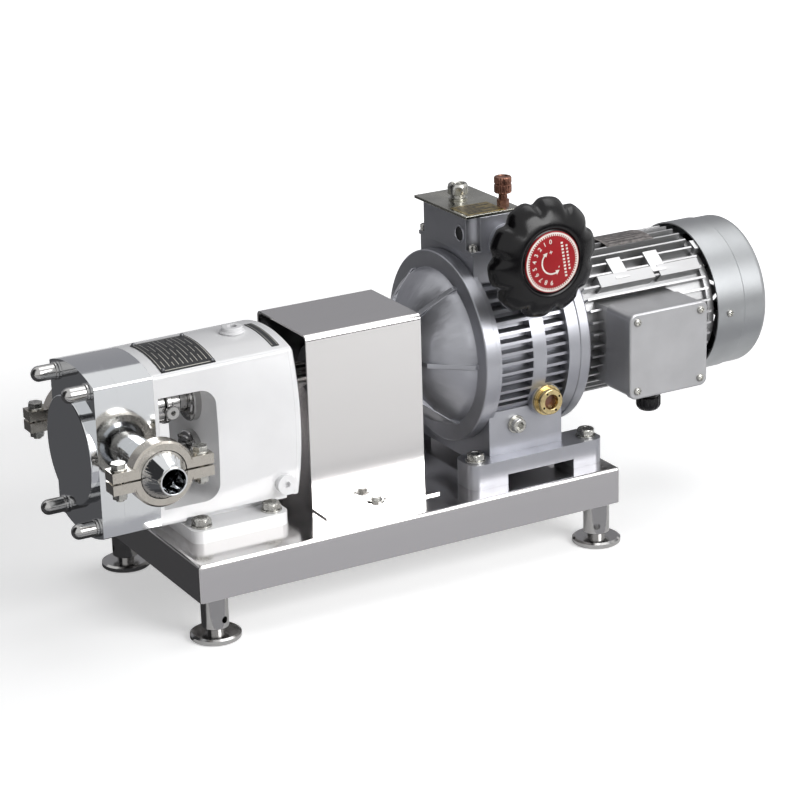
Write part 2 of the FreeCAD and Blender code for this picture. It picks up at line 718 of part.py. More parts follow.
def housing_skin(name, grow=0):
    """The housing's outer form: the case's outline swelling out towards the back."""
    body = new_body(name)
    half = d.case_width / 2
    front = new_sketch(body, "YZ_Plane", HOUSING_FRONT)
    case_outline(front, half, d.case_shoulder + grow, d.case_crown, 0.4, 4)
    back = new_sketch(body, "YZ_Plane", HOUSING_BACK)
    case_outline(back, half, d.housing_shoulder + grow, d.case_crown * 0.9, d.housing_bulge, 4)
    loft = body.newObject("PartDesign::AdditiveLoft", "Loft")
    loft.Profile = front
    loft.Sections = [back]
    doc.recompute()
    return body


def make_pump_housing():
    """White bearing housing: two arms round an open window, a closed gear room, and a foot."""
    body = housing_skin("PumpHousing")
    low = -(PUMP_Z - PUMP_FOOT_TOP)
    stem_top = low + d.housing_stem_rise
    floor = -(PUMP_Z - BASE_TOP)
    side = d.housing_foot_width
    for flip in (-1, 1):
        near, far = flip * (d.housing_stem_width / 2), flip * side
        sketch = new_sketch(body, "YZ_Plane", FOOT_FRONT)
        inner, outer = (far, near) if flip < 0 else (near, far)
        draw_loop(sketch, [(inner, floor), (outer, floor), (outer, stem_top), (inner, stem_top)])
        pocket(body, sketch, HOUSING_BACK - FOOT_FRONT, backwards=True)
    sketch = new_sketch(body, "XY_Plane", floor)
    stem = d.housing_stem_width / 2
    draw_loop(sketch, [(FOOT_FRONT, -stem), (FOOT_BACK - d.housing_foot_gap / 2, -stem),
                       (FOOT_BACK - d.housing_foot_gap / 2, stem), (FOOT_FRONT, stem)])
    pad(body, sketch, stem_top - floor + 4)
    sketch = new_sketch(body, "XY_Plane", floor)
    wide = d.housing_foot_width / 2
    draw_loop(sketch, [(FOOT_FRONT, -wide), (FOOT_BACK, -wide), (FOOT_BACK, wide),
                       (FOOT_FRONT, wide)])
    pad(body, sketch, d.housing_foot_thick)
    foot_y = wide.value
    dress(body, "Fillet", 10.0, lambda edge: runs_along(edge, "z")
          and abs(abs(edge.BoundBox.YMin) - foot_y) < 1e-3)
    sketch = new_sketch(body, "XZ_Plane")
    draw_loop(sketch, [(WINDOW_FRONT, -d.window_bottom), (WINDOW_BACK, -d.window_bottom),
                       (WINDOW_BACK, d.window_top), (WINDOW_FRONT, d.window_top)])
    pocket(body, sketch)
    dress(body, "Fillet", d.window_round, lambda edge: runs_along(edge, "y")
          and abs(edge.BoundBox.XMin - WINDOW_BACK.value) < 1e-3
          and abs(edge.BoundBox.ZMin) < d.case_shoulder.value)
    make_gear_room(body)
    make_housing_holes(body)
    make_lower_plug(body)
    sub_part(body, "pump_housing", 0, 0, PUMP_Z)


def make_gear_room(body):
    """Hollows the gear room from the back and bores its front wall for the bearings."""
    half_spacing = d.shaft_spacing / 2
    sketch = new_sketch(body, "YZ_Plane", GEAR_ROOM_FRONT)
    wide, tall = d.gear_room_half_width, d.gear_room_half_height
    draw_loop(sketch, [(-wide, -tall), (wide, -tall), (wide, tall), (-wide, tall)])
    pocket(body, sketch, HOUSING_BACK - GEAR_ROOM_FRONT + 1, backwards=True)
    for side in (-1, 1):
        sketch = new_sketch(body, "YZ_Plane", GEAR_ROOM_FRONT - d.bearing_width)
        draw_circles(sketch, [(0, side * half_spacing, d.bearing_d / 2)])
        pocket(body, sketch, d.bearing_width + 1, backwards=True)
        sketch = new_sketch(body, "YZ_Plane", WINDOW_BACK - 1)
        draw_circles(sketch, [(0, side * half_spacing, SHAFT_R + 1.5)])
        pocket(body, sketch, d.bearing_wall, backwards=True)


def make_housing_holes(body):
    """Seal seats in the front plate, stud holes in the arms, and the foot's bolt holes."""
    half_spacing = d.shaft_spacing / 2
    sketch = new_sketch(body, "YZ_Plane", HOUSING_FRONT - 1)
    draw_circles(sketch, [(0, side * half_spacing, SEAL_SPIGOT_R) for side in (-1, 1)])
    pocket(body, sketch, d.housing_face + 2, backwards=True)
    sketch = new_sketch(body, "YZ_Plane", HOUSING_FRONT - 1)
    draw_circles(sketch, [(y, z, d.stud_d / 2) for x, y, z in stud_places(0)])
    pocket(body, sketch, STUD_GRIP + 1, backwards=True)
    sketch = new_sketch(body, "XY_Plane", -(PUMP_Z - BASE_TOP))
    draw_circles(sketch, [(x, side * d.pump_bolt_y, d.bolt_d / 2 + d.bolt_hole_gap)
                          for x in PUMP_BOLTS_X for side in (-1, 1)])
    pocket(body, sketch, d.housing_foot_thick, backwards=True)


def make_lower_plug(body):
    """The painted boss of the lower oil plug, with a hexagon socket in its face."""
    x = PUMP_BACK - d.plug_boss_inset
    root = d.case_width / 2 - 4
    sketch = new_sketch(body, "XZ_Plane", root)
    draw_circles(sketch, [(x, -d.plug_boss_drop, d.plug_boss_d / 2)])
    pad(body, sketch, d.plug_boss_reach - root)
    sketch = new_sketch(body, "XZ_Plane", d.plug_boss_reach)
    corner = d.plug_boss_d * 0.18
    angles = [math.radians(60 * number) for number in range(6)]
    draw_loop(sketch, [(x + corner * math.cos(a), corner * math.sin(a) - d.plug_boss_drop)
                       for a in angles])
    pocket(body, sketch, 5)


SEAL_SPIGOT_R = SHAFT_R + 4.5
STUD_GRIP = Dim.of(18.0)


def stud_places(x):
    return [(x, y * d.stud_y, z * d.stud_z) for y in (-1, 1) for z in (-1, 1)]


def make_gear_cover():
    """Rear cover of the gear room, with bosses inside that seat the rear bearings."""
    body = new_body("GearCover")
    edge = 3
    outlines = []
    for place, inset in ((HOUSING_BACK, 0), (PUMP_BACK - edge, 0), (PUMP_BACK, edge)):
        sketch = new_sketch(body, "YZ_Plane", place)
        case_outline(sketch, d.case_width / 2 - inset, d.housing_shoulder - inset,
                     d.case_crown * 0.9, d.housing_bulge, 4)
        outlines.append(sketch)
    pad(body, outlines[0], d.gear_cover_thick - edge)
    bevel = body.newObject("PartDesign::AdditiveLoft", "Bevel")
    bevel.Profile = outlines[1]
    bevel.Sections = [outlines[2]]
    doc.recompute()
    half_spacing = d.shaft_spacing / 2
    for side in (-1, 1):
        sketch = new_sketch(body, "YZ_Plane", REAR_BEARING)
        draw_circles(sketch, [(0, side * half_spacing, d.bearing_d / 2 + 4.5)])
        pad(body, sketch, d.cover_boss + 1)
    sketch = new_sketch(body, "YZ_Plane", REAR_BEARING)
    draw_circles(sketch, [(0, side * half_spacing, d.bearing_d / 2) for side in (-1, 1)])
    pocket(body, sketch, d.bearing_width, backwards=True)
    sketch = new_sketch(body, "YZ_Plane", HOUSING_BACK)
    draw_circles(sketch, [(0, half_spacing, SHAFT_R + d.seal_gap)])
    pocket(body, sketch, d.gear_cover_thick, backwards=True)
    sketch = new_sketch(body, "XY_Plane", -(PUMP_Z - BASE_TOP))
    wide = d.housing_foot_width
    under = -(d.housing_shoulder - d.housing_stem_rise * 0.4)
    draw_loop(sketch, [(HOUSING_BACK - 1, -wide), (PUMP_BACK + 1, -wide), (PUMP_BACK + 1, wide),
                       (HOUSING_BACK - 1, wide)])
    pocket(body, sketch, under + (PUMP_Z - BASE_TOP), backwards=True)
    sub_part(body, "gearbox_cover", 0, 0, PUMP_Z)


def case_block(name, front, length):
    """A plate of the pump head with the case's outline."""
    body = new_body(name)
    sketch = new_sketch(body, "YZ_Plane", front)
    case_outline(sketch, d.case_width / 2, d.case_shoulder, d.case_crown)
    pad(body, sketch, length)
    return body


ROTOR_TIP_R = d.shaft_spacing / 2 * 4 / 3
CHAMBER_R = ROTOR_TIP_R + d.rotor_gap


def ferrule_profile(outside, bore, rim, face, back):
    """Corners of a clamp ferrule whose sealing face is at one height and neck at another."""
    slope = math.tan(math.radians(20))
    rim_r = d.ferrule_d / 2
    sign = 1 if back.value > face.value else -1
    shoulder = face + sign * (rim + (rim_r - outside) * slope)
    corners = [(bore, face), (rim_r, face), (rim_r, face + sign * rim), (outside, shoulder),
               (outside, back), (bore, back)]
    return corners if sign > 0 else corners[::-1]


def make_rotor_case():
    """Rotor case with its two overlapping chambers and a welded port neck on each side."""
    half_spacing = d.shaft_spacing / 2
    body = case_block("CaseBlock", CASE_FRONT, d.case_length)
    for side in (-1, 1):
        sketch = new_sketch(body, "YZ_Plane", CASE_FRONT - 1)
        draw_circles(sketch, [(0, side * half_spacing, CHAMBER_R)])
        pocket(body, sketch, CHAMBER_BACK - CASE_FRONT + 1, backwards=True)
        sketch = new_sketch(body, "YZ_Plane", CHAMBER_BACK - 1)
        draw_circles(sketch, [(0, side * half_spacing, SHAFT_R + 1)])
        pocket(body, sketch, d.rear_wall + 2, backwards=True)
    sketch = new_sketch(body, "YZ_Plane", CASE_FRONT - 1)
    draw_circles(sketch, [(y, z, d.stud_d / 2 + d.bolt_hole_gap) for x, y, z in stud_places(0)])
    pocket(body, sketch, d.case_length + 2, backwards=True)
    put(body, 0, 0, PUMP_Z)
    wall = d.case_width / 2
    necks = []
    bores = []
    for name, turn in (("Near", TOWARDS_VIEWER), ("Far", AWAY_FROM_VIEWER)):
        neck = turned(name + "Neck", ferrule_profile(d.neck_d / 2, 0, d.ferrule_rim, d.port_reach,
                                                     wall - 4))
        necks.append(put(neck, PORT_X, 0, PUMP_Z, turn))
        bores.append(cylinder(name + "Bore", d.port_bore_d / 2, d.port_reach - 20 + 1,
                              PORT_X, 0, PUMP_Z, turn))
    for number, turn in enumerate((TOWARDS_VIEWER, AWAY_FROM_VIEWER)):
        flip = -1 if turn is TOWARDS_VIEWER else 1
        put(bores[number], PORT_X, flip * 20, PUMP_Z, turn)
    case = difference("RotorCase", union("CaseWithNecks", [body] + necks), bores)
    sub_part(case, "rotor_case")


def make_front_cover():
    """Thick front cover with a round boss standing from it."""
    body = case_block("FrontCover", COVER_FRONT, d.cover_thick)
    sketch = new_sketch(body, "YZ_Plane", COVER_FRONT)
    draw_circles(sketch, [(0, 0, d.disc_d / 2)])
    pad(body, sketch, d.disc_thick, backwards=True)
    dress(body, "Fillet", 1.6, lambda edge: at_height(edge, "x", DISC_FRONT.value))
    sketch = new_sketch(body, "YZ_Plane", COVER_FRONT - 1)
    draw_circles(sketch, [(y, z, d.stud_d / 2 + d.bolt_hole_gap) for x, y, z in stud_places(0)])
    pocket(body, sketch, d.cover_thick + 2, backwards=True)
    sub_part(body, "front_cover", 0, 0, PUMP_Z)


def make_cover_fixings():
    """Studs through case and cover, and long domed cap nuts on them."""
    nut_r = d.cap_nut_d / 2
    stud_end = 12.0
    stud = lathe("Stud", [(0, d.stud_d / 2),
                          (STUD_GRIP + d.case_length + d.cover_thick + stud_end, d.stud_d / 2)])
    start = COVER_FRONT - stud_end
    places = [(start, y, PUMP_Z + z) for x, y, z in stud_places(0)]
    sub_part(copies("Studs", stud, places, ALONG_X), "cover_studs")
    collar = nut_r + 1.2
    dome = d.cap_nut_length - nut_r
    nut = turned("CapNut", [(0, 13.0), (d.stud_d / 2, 13.0), (d.stud_d / 2, 0), (collar - 0.5, 0),
                            (collar, 0.5), (collar, 2.5), (nut_r, 3.2), (nut_r, dome),
                            (0, d.cap_nut_length)], {7: nut_r})
    places = [(COVER_FRONT, y, PUMP_Z + z) for x, y, z in stud_places(0)]
    facing_out = FreeCAD.Rotation(V(0, 1, 0), -90)
    sub_part(copies("CapNuts", nut, places, facing_out), "cap_nuts")


# Ports, gaskets and clamps

def make_port_fittings():
    """Reducers from the ferrule down to the pipe, with a gasket between the faces."""
    rim_r = d.ferrule_d / 2
    bore = d.port_bore_d / 2
    pipe = d.pipe_d / 2
    face = d.port_reach + d.gasket_thick
    end = PORT_END
    slope = math.tan(math.radians(20))
    shoulder_r = rim_r - 1.6
    shoulder = face + d.ferrule_rim + (rim_r - shoulder_r) * slope
    straight = end - 4
    profile = [(bore, face), (rim_r, face), (rim_r, face + d.ferrule_rim), (shoulder_r, shoulder),
               (shoulder_r, shoulder + 5), (pipe, straight), (pipe, end),
               (pipe - d.pipe_wall, end), (pipe - d.pipe_wall, straight),
               (bore, shoulder + 3)]
    for side, label, turn in ((-1, "near_port_reducer", TOWARDS_VIEWER),
                              (1, "far_port_reducer", AWAY_FROM_VIEWER)):
        stub = turned(f"Reducer{side + 1}", profile)
        sub_part(stub, label, PORT_X, 0, PUMP_Z, turn)
    gaskets = []
    for side, turn in ((-1, TOWARDS_VIEWER), (1, AWAY_FROM_VIEWER)):
        ring = lathe(f"Gasket{side + 1}", [(d.port_reach, rim_r - 1.0), (face, rim_r - 1.0)], bore)
        gaskets.append(put(ring, PORT_X, 0, PUMP_Z, turn))
    sub_part(group("Gaskets", gaskets), "port_gaskets")


def make_clamps():
    """Two-bolt clamps in halves, grooved over the ferrules, with an ear on each side."""
    outer = d.clamp_d / 2
    half = d.clamp_width / 2
    rim_r = d.ferrule_d / 2 + d.clamp_play
    lip_r = d.ferrule_d / 2 - 1.3
    groove = d.ferrule_rim + d.gasket_thick / 2 + d.clamp_play
    slope = (rim_r - lip_r) * math.tan(math.radians(20))
    middle = d.port_reach + d.gasket_thick / 2
    far = 200
    for side, place, turn in ((-1, "near", TOWARDS_VIEWER), (1, "far", AWAY_FROM_VIEWER)):
        halves = []
        for up, level in ((1, "upper"), (-1, "lower")):
            name = f"{place}_{level}"
            ring = turned(name + "_ring", [(lip_r, -half), (outer - 2, -half), (outer, -half + 2),
                                           (outer, half - 2), (outer - 2, half), (lip_r, half),
                                           (lip_r, groove + slope), (rim_r, groove),
                                           (rim_r, -groove), (lip_r, -groove - slope)])
            put(ring, PORT_X, side * middle, PUMP_Z, turn)
            y_pair = (side * middle - half, side * middle + half)
            split = d.clamp_split / 2
            ear_z = (PUMP_Z + split, PUMP_Z + split + d.clamp_ear_thick)
            keep_z = (PUMP_Z + split, PUMP_Z + far)
            if up < 0:
                ear_z = (PUMP_Z - split - d.clamp_ear_thick, PUMP_Z - split)
                keep_z = (PUMP_Z - far, PUMP_Z - split)
            pieces = [ring]
            holes = []
            for way in (-1, 1):
                start, stop = PORT_X + way * (outer - 3), PORT_X + way * d.clamp_ear_reach
                x_pair = (start, stop) if way > 0 else (stop, start)
                pieces.append(block(f"{name}_ear{way + 1}", x_pair, y_pair, ear_z))
                holes.append(cylinder(f"{name}_hole{way + 1}", d.clamp_bolt_d / 2 + 0.5, 2 * far,
                                      PORT_X + way * d.clamp_bolt_reach, side * middle,
                                      PUMP_Z - far))
            whole = difference(name + "_drilled", union(name + "_solid", pieces), holes)
            keep = block(name + "_keep", (PORT_X - far, PORT_X + far),
                         (side * middle - far / 2, side * middle + far / 2), keep_z)
            halves.append(overlap(name + "_half", whole, keep))
        sub_part(group(place + "_halves", halves), f"{place}_port_clamp")


def make_clamp_bolts():
    """Clamp bolts: a hexagon head on the upper ear and a nut under the lower one."""
    grip = d.clamp_ear_thick * 2 + d.clamp_split
    middle = d.port_reach + d.gasket_thick / 2
    bolt = bolt_shape("ClampBolt", d.clamp_bolt_d, Dim.of(13.0), Dim.of(5.3), grip + 9)
    sketch = new_sketch(bolt, "XY_Plane", -grip)
    corner = Dim.of(13.0) / math.sqrt(3)
    angles = [math.radians(60 * number) for number in range(6)]
    draw_loop(sketch, [(corner * math.cos(a), corner * math.sin(a)) for a in angles])
    pad(bolt, sketch, 6.5, backwards=True)
    top = PUMP_Z + d.clamp_split / 2 + d.clamp_ear_thick
    places = [(PORT_X + way * d.clamp_bolt_reach, side * middle, top)
              for side in (-1, 1) for way in (-1, 1)]
    sub_part(copies("ClampBolts", bolt, places), "clamp_bolts")


# Shafts, bearings, seals, rotors and timing gears

ROTOR_FRONT = CASE_FRONT + d.rotor_gap
ROTOR_BACK = CHAMBER_BACK - d.rotor_gap
ROTOR_BORE_R = SHAFT_R - 2.5
NUT_SEAT = ROTOR_FRONT + 7.0


def make_pump_shafts():
    """The upper shaft runs out to the coupling, the lower one ends in its rear bearing."""
    nut_r = ROTOR_BORE_R + 3.0
    ends = (("drive_shaft", COUPLING_FACE * -1, LINE_Z),
            ("driven_shaft", REAR_BEARING + d.bearing_width, LOWER_Z))
    for label, end, height in ends:
        body = lathe(label, [(ROTOR_FRONT + 0.5, nut_r), (NUT_SEAT, nut_r),
                             (NUT_SEAT, ROTOR_BORE_R), (ROTOR_BACK, ROTOR_BORE_R),
                             (ROTOR_BACK, SHAFT_R), (end - 1, SHAFT_R), (end, SHAFT_R - 1)])
        sub_part(body, label, 0, 0, height, ALONG_X)


def make_bearings():
    """Ball bearings: two on each pump shaft, one in the variator's bell, two in the motor."""
    ring = lathe("ShaftBearing", [(0, d.bearing_d / 2 - 0.6), (0.6, d.bearing_d / 2),
                                  (d.bearing_width - 0.6, d.bearing_d / 2),
                                  (d.bearing_width, d.bearing_d / 2 - 0.6)], SHAFT_R + d.fit_gap)
    front = GEAR_ROOM_FRONT - d.bearing_width
    places = [(x, 0, z) for x in (front, REAR_BEARING) for z in (LINE_Z, LOWER_Z)]
    places.append((BELL_BEARING, 0, LINE_Z))
    shaft_set = copies("ShaftBearings", ring, places, ALONG_X)
    ring = lathe("MotorBearing", [(0, d.motor_bearing_d / 2),
                                  (d.motor_bearing_width, d.motor_bearing_d / 2)],
                 MOTOR_SHAFT_R + d.fit_gap)
    places = [(x, 0, LINE_Z) for x in (FRONT_MOTOR_BEARING, REAR_MOTOR_BEARING)]
    motor_set = copies("MotorBearings", ring, places, ALONG_X)
    sub_part(group("Bearings", [shaft_set, motor_set]), "ball_bearings")


def make_shaft_seals():
    """Seal cartridges in the housing's front plate, round each shaft."""
    clearance = SHAFT_R + d.seal_gap
    seal = lathe("ShaftSeal", [(0, SEAL_SPIGOT_R), (d.housing_face, SEAL_SPIGOT_R),
                               (d.housing_face, 24.5), (d.housing_face + 6, 24.5),
                               (d.housing_face + 8, 20), (d.housing_face + 22, 20),
                               (d.housing_face + 24, 18)], clearance)
    places = [(HOUSING_FRONT, 0, z) for z in (LINE_Z, LOWER_Z)]
    sub_part(copies("ShaftSeals", seal, places, ALONG_X), "shaft_seals")


def lobe_points(pitch, lobes, inset, steps):
    """Half of one lobe and half of one hollow of a cycloidal rotor, moved inward by the inset.

    The tip rolls outside the pitch circle and the hollow inside it, so that two such rotors,
    one turned by half a lobe, stay in mesh all the way round.
    """
    roller = pitch / (2 * lobes)
    sweep = math.pi / lobes

    def outer(angle):
        ratio = (pitch + roller) / roller
        return V((pitch + roller) * math.cos(angle) - roller * math.cos(ratio * angle),
                 (pitch + roller) * math.sin(angle) - roller * math.sin(ratio * angle), 0)

    def inner(angle):
        ratio = (pitch - roller) / roller
        return V((pitch - roller) * math.cos(angle) + roller * math.cos(ratio * angle),
                 (pitch - roller) * math.sin(angle) - roller * math.sin(ratio * angle), 0)

    points = []
    for curve, start in ((outer, 0.0), (inner, sweep)):
        for step in range(steps):
            angle = start + sweep * (step + 0.5) / steps
            ahead = curve(angle + 1e-4) - curve(angle - 1e-4)
            normal = V(ahead.y, -ahead.x, 0).normalize()
            points.append(curve(angle) - normal * inset)
    return points


def lobe_rotor(name, phase):
    """A three-lobed rotor, upright, with a bore for its shaft and a seat for its nut."""
    lobes = 3
    arc = lobe_points(d.shaft_spacing.value / 2, lobes, d.rotor_gap.value / 2 + 0.05, 9)
    outline = []
    for number in range(lobes):
        turn = FreeCAD.Rotation(V(0, 0, 1), math.degrees(phase) + 360.0 * number / lobes)
        outline += [turn.multVec(point) for point in arc]
    curve = Part.BSplineCurve()
    curve.interpolate(outline, PeriodicFlag=True)
    face = Part.Face(Part.Wire(curve.toShape()))
    length = (ROTOR_BACK - ROTOR_FRONT).value
    solid = face.extrude(V(0, 0, length))
    bore = Part.makeCylinder((ROTOR_BORE_R + d.fit_gap).value, length)
    seat = Part.makeCylinder((ROTOR_BORE_R + 3.2).value, (NUT_SEAT - ROTOR_FRONT).value)
    rotor = doc.addObject("Part::Feature", name)
    rotor.Shape = solid.cut(bore).cut(seat)
    return rotor


def make_rotors():
    """The two lobe rotors, alike: with three lobes, a hollow lies right across from each tip."""
    phase = math.pi / 6
    sub_part(lobe_rotor("DriveRotor", phase), "drive_rotor", ROTOR_FRONT, 0, LINE_Z, ALONG_X)
    sub_part(lobe_rotor("DrivenRotor", phase), "driven_rotor", ROTOR_FRONT, 0, LOWER_Z, ALONG_X)


def involute(base, roll):
    """A point of the involute of a circle, with how far round it has come."""
    radius = base * math.sqrt(1 + roll * roll)
    angle = roll - math.atan(roll)
    return radius, angle


def gear_outline(teeth, pitch, backlash):
    """A spur gear's outline: involute flanks between the root and tip circles."""
    module = 2 * pitch / teeth
    base = pitch * math.cos(math.radians(20))
    tip = pitch + 0.9 * module
    root = pitch - 1.15 * module
    pitch_roll = math.sqrt((pitch / base) ** 2 - 1)
    half_tooth = math.pi / (2 * teeth) - backlash / (4 * pitch) + involute(base, pitch_roll)[1]
    tip_roll = math.sqrt((tip / base) ** 2 - 1)
    points = []
    for tooth in range(teeth):
        middle = 2 * math.pi * tooth / teeth
        flank = [involute(base, tip_roll * step / 4) for step in range(5)]
        rising = [(root, middle - half_tooth)]
        rising += [(radius, middle - half_tooth + angle) for radius, angle in flank]
        falling = [(radius, 2 * middle - angle) for radius, angle in reversed(rising)]
        points += rising + falling
    return [V(radius * math.cos(angle), radius * math.sin(angle), 0) for radius, angle in points]


def timing_gear(name, turn_degrees):
    """A timing gear, upright, with a hub bore and six lightening holes."""
    teeth = 18
    outline = gear_outline(teeth, d.shaft_spacing.value / 2, d.gear_backlash.value)
    turn = FreeCAD.Rotation(V(0, 0, 1), turn_degrees)
    outline = [turn.multVec(point) for point in outline]
    face = Part.Face(Part.makePolygon(outline + outline[:1]))
    width = d.gear_width.value
    solid = face.extrude(V(0, 0, width))
    gear = doc.addObject("Part::Feature", name)
    gear.Shape = solid.cut(Part.makeCylinder((SHAFT_R + d.fit_gap).value, width))
    return gear


def make_timing_gears():
    """Gears of one size on both shafts, so that the shafts turn opposite ways at one speed."""
    room = HOUSING_BACK - GEAR_ROOM_FRONT
    start = GEAR_ROOM_FRONT + (room - d.gear_width) / 2
    half_pitch = 180.0 / 18
    sub_part(timing_gear("DriveGear", 0.0), "drive_timing_gear", start, 0, LINE_Z, ALONG_X)
    sub_part(timing_gear("DrivenGear", half_pitch), "driven_timing_gear", start, 0, LOWER_Z,
             ALONG_X)


# Coupling under the guard

COUPLING_FACE = Dim.of(9.0)
HUB_R = Dim.of(27.0)
JAW_RISE = Dim.of(13.0)
HUB_LENGTH = Dim.of(28.0)
JAW_HALF_ANGLE = math.radians(21)
JAW_ROOT_SHARE = 0.6  # the jaw's root as a share of the sector that its tip fills


def coupling_hub(name):
    """A hub with three jaws, drawn upright with its face at height zero."""
    body = lathe(name, [(-HUB_LENGTH, HUB_R - 1.5), (-HUB_LENGTH + 1.5, HUB_R), (0, HUB_R)],
                 SHAFT_R + d.fit_gap)
    sketch = new_sketch(body, "XY_Plane", -1)
    inner = SHAFT_R + 2
    side = math.sin(JAW_HALF_ANGLE)
    root = inner * side * JAW_ROOT_SHARE
    reach, flank = HUB_R * math.cos(JAW_HALF_ANGLE), HUB_R * side
    draw_loop(sketch, [(inner, -root), (reach, -flank), (reach, flank), (inner, root)],
              {1: HUB_R})
    jaw = pad(body, sketch, JAW_RISE + 1)
    polar(body, jaw, "Z_Axis", 3)
    return body


def make_coupling():
    """Two jawed hubs, facing each other half a jaw apart, with a rubber spider between."""
    face = JAW_RISE / 2 + 0.4
    pump_hub = coupling_hub("PumpHub")
    sub_part(pump_hub, "pump_coupling_hub", -face, 0, LINE_Z, ALONG_X)
    drive_hub = coupling_hub("DriveHub")
    facing_pump = FreeCAD.Rotation(V(0, 1, 0), -90)
    sub_part(drive_hub, "drive_coupling_hub", face, 0, LINE_Z, facing_pump)
    spider = lathe("Spider", [(-JAW_RISE / 2 + 0.3, SHAFT_R + 1.6),
                              (JAW_RISE / 2 - 0.3, SHAFT_R + 1.6)], SHAFT_R * 0.8)
    sketch = new_sketch(spider, "XY_Plane")
    half_leg = HUB_R * math.sin(math.radians(60 / 2 - 21)) - 0.4
    draw_loop(sketch, [(SHAFT_R, -half_leg * 0.5), (HUB_R - 1, -half_leg), (HUB_R - 1, half_leg),
                       (SHAFT_R, half_leg * 0.5)])
    leg = pad(spider, sketch, JAW_RISE - 0.6, middle=True)
    polar(spider, leg, "Z_Axis", 6)
    sub_part(spider, "coupling_spider", 0, 0, LINE_Z,
             FreeCAD.Rotation(V(1, 0, 0), 30) * ALONG_X)


def make_guard():
    """Folded sheet guard: two walls and a top, with an outward foot along each wall."""
    body = new_body("Guard")
    half = d.guard_width / 2
    sheet_t = d.guard_sheet
    out = half + d.guard_flange
    top = d.guard_height
    sketch = new_sketch(body, "YZ_Plane")
    draw_loop(sketch, [(-out, 0), (-half + sheet_t, 0), (-half + sheet_t, top - sheet_t),
                       (half - sheet_t, top - sheet_t), (half - sheet_t, 0), (out, 0),
                       (out, sheet_t), (half, sheet_t), (half, top), (-half, top),
                       (-half, sheet_t), (-out, sheet_t)])
    pad(body, sketch, d.guard_length, middle=True)
    high = top.value
    dress(body, "Fillet", d.guard_bend, lambda edge: runs_along(edge, "x")
          and edge.BoundBox.ZMin > high - 0.01)
    dress(body, "Fillet", d.guard_bend - sheet_t, lambda edge: runs_along(edge, "x")
          and abs(edge.BoundBox.ZMin - (top - sheet_t).value) < 1e-3
          and abs(abs(edge.BoundBox.YMin) - (half - sheet_t).value) < 1e-3)
    sketch = new_sketch(body, "XY_Plane", sheet_t)
    slot = d.guard_slot_d / 2
    for side in (-1, 1):
        middle = side * GUARD_SCREW_Y
        draw_loop(sketch, [(-slot * 3, middle - slot), (slot * 3, middle - slot),
                           (slot * 3, middle + slot), (-slot * 3, middle + slot)])
    pocket(body, sketch, sheet_t)
    sub_part(body, "coupling_guard", 0, 0, BASE_TOP)
    screw = lathe("GuardScrew", [(-12, 2.9), (0, 2.9), (0, 8.0), (1.2, 8.0), (1.2, 5.6), (3.8, 4.9),
                                 (4.6, 3.2)])
    places = [(0, side * GUARD_SCREW_Y, BASE_TOP + sheet_t) for side in (-1, 1)]
    sub_part(copies("GuardScrews", screw, places), "guard_screws")


# Variator

BELL_BEARING = GUARD_HALF + d.bell_nose_gap + 6


def make_bell():
    """Bell-shaped front cover of the variator with six outer ribs."""
    nose = GUARD_HALF + d.bell_nose_gap
    mouth = MOUTH_R
    wall = d.bell_wall
    seat = BELL_BEARING + d.bearing_width
    bearing_r = d.bearing_d / 2
    body = turned("Bell", [(SHAFT_R + d.seal_gap, nose), (38, nose), (46, nose + 6),
                           (mouth * 0.8, nose + 20), (mouth - 4, nose + 34), (mouth, FLANGE_FRONT),
                           (FLANGE_R - 1, FLANGE_FRONT), (FLANGE_R, FLANGE_FRONT + 1),
                           (FLANGE_R, RING_FRONT), (mouth - wall, RING_FRONT),
                           (mouth - wall, FLANGE_FRONT), (mouth * 0.75, nose + 26), (44, seat),
                           (bearing_r, seat), (bearing_r, BELL_BEARING),
                           (SHAFT_R + d.seal_gap, BELL_BEARING)])
    sketch = new_sketch(body, "XZ_Plane")
    draw_loop(sketch, [(36, nose + 2), (52, nose + 3), (mouth + 2, FLANGE_FRONT - 4),
                       (mouth + 2, FLANGE_FRONT + 2), (mouth - wall / 2, FLANGE_FRONT + 2),
                       (mouth * 0.75, nose + 22), (40, nose + 10)])
    rib = pad(body, sketch, d.bell_rib, middle=True)
    polar(body, rib, "Z_Axis", 6)
    sub_part(body, "variator_bell", 0, 0, LINE_Z, FreeCAD.Rotation(V(1, 0, 0), 90) * ALONG_X)


SIGHT_PLACE = (d.stand_start + d.sight_along, LINE_Z - d.sight_drop)
SIGHT_FACE = FLANGE_R - d.sight_inset


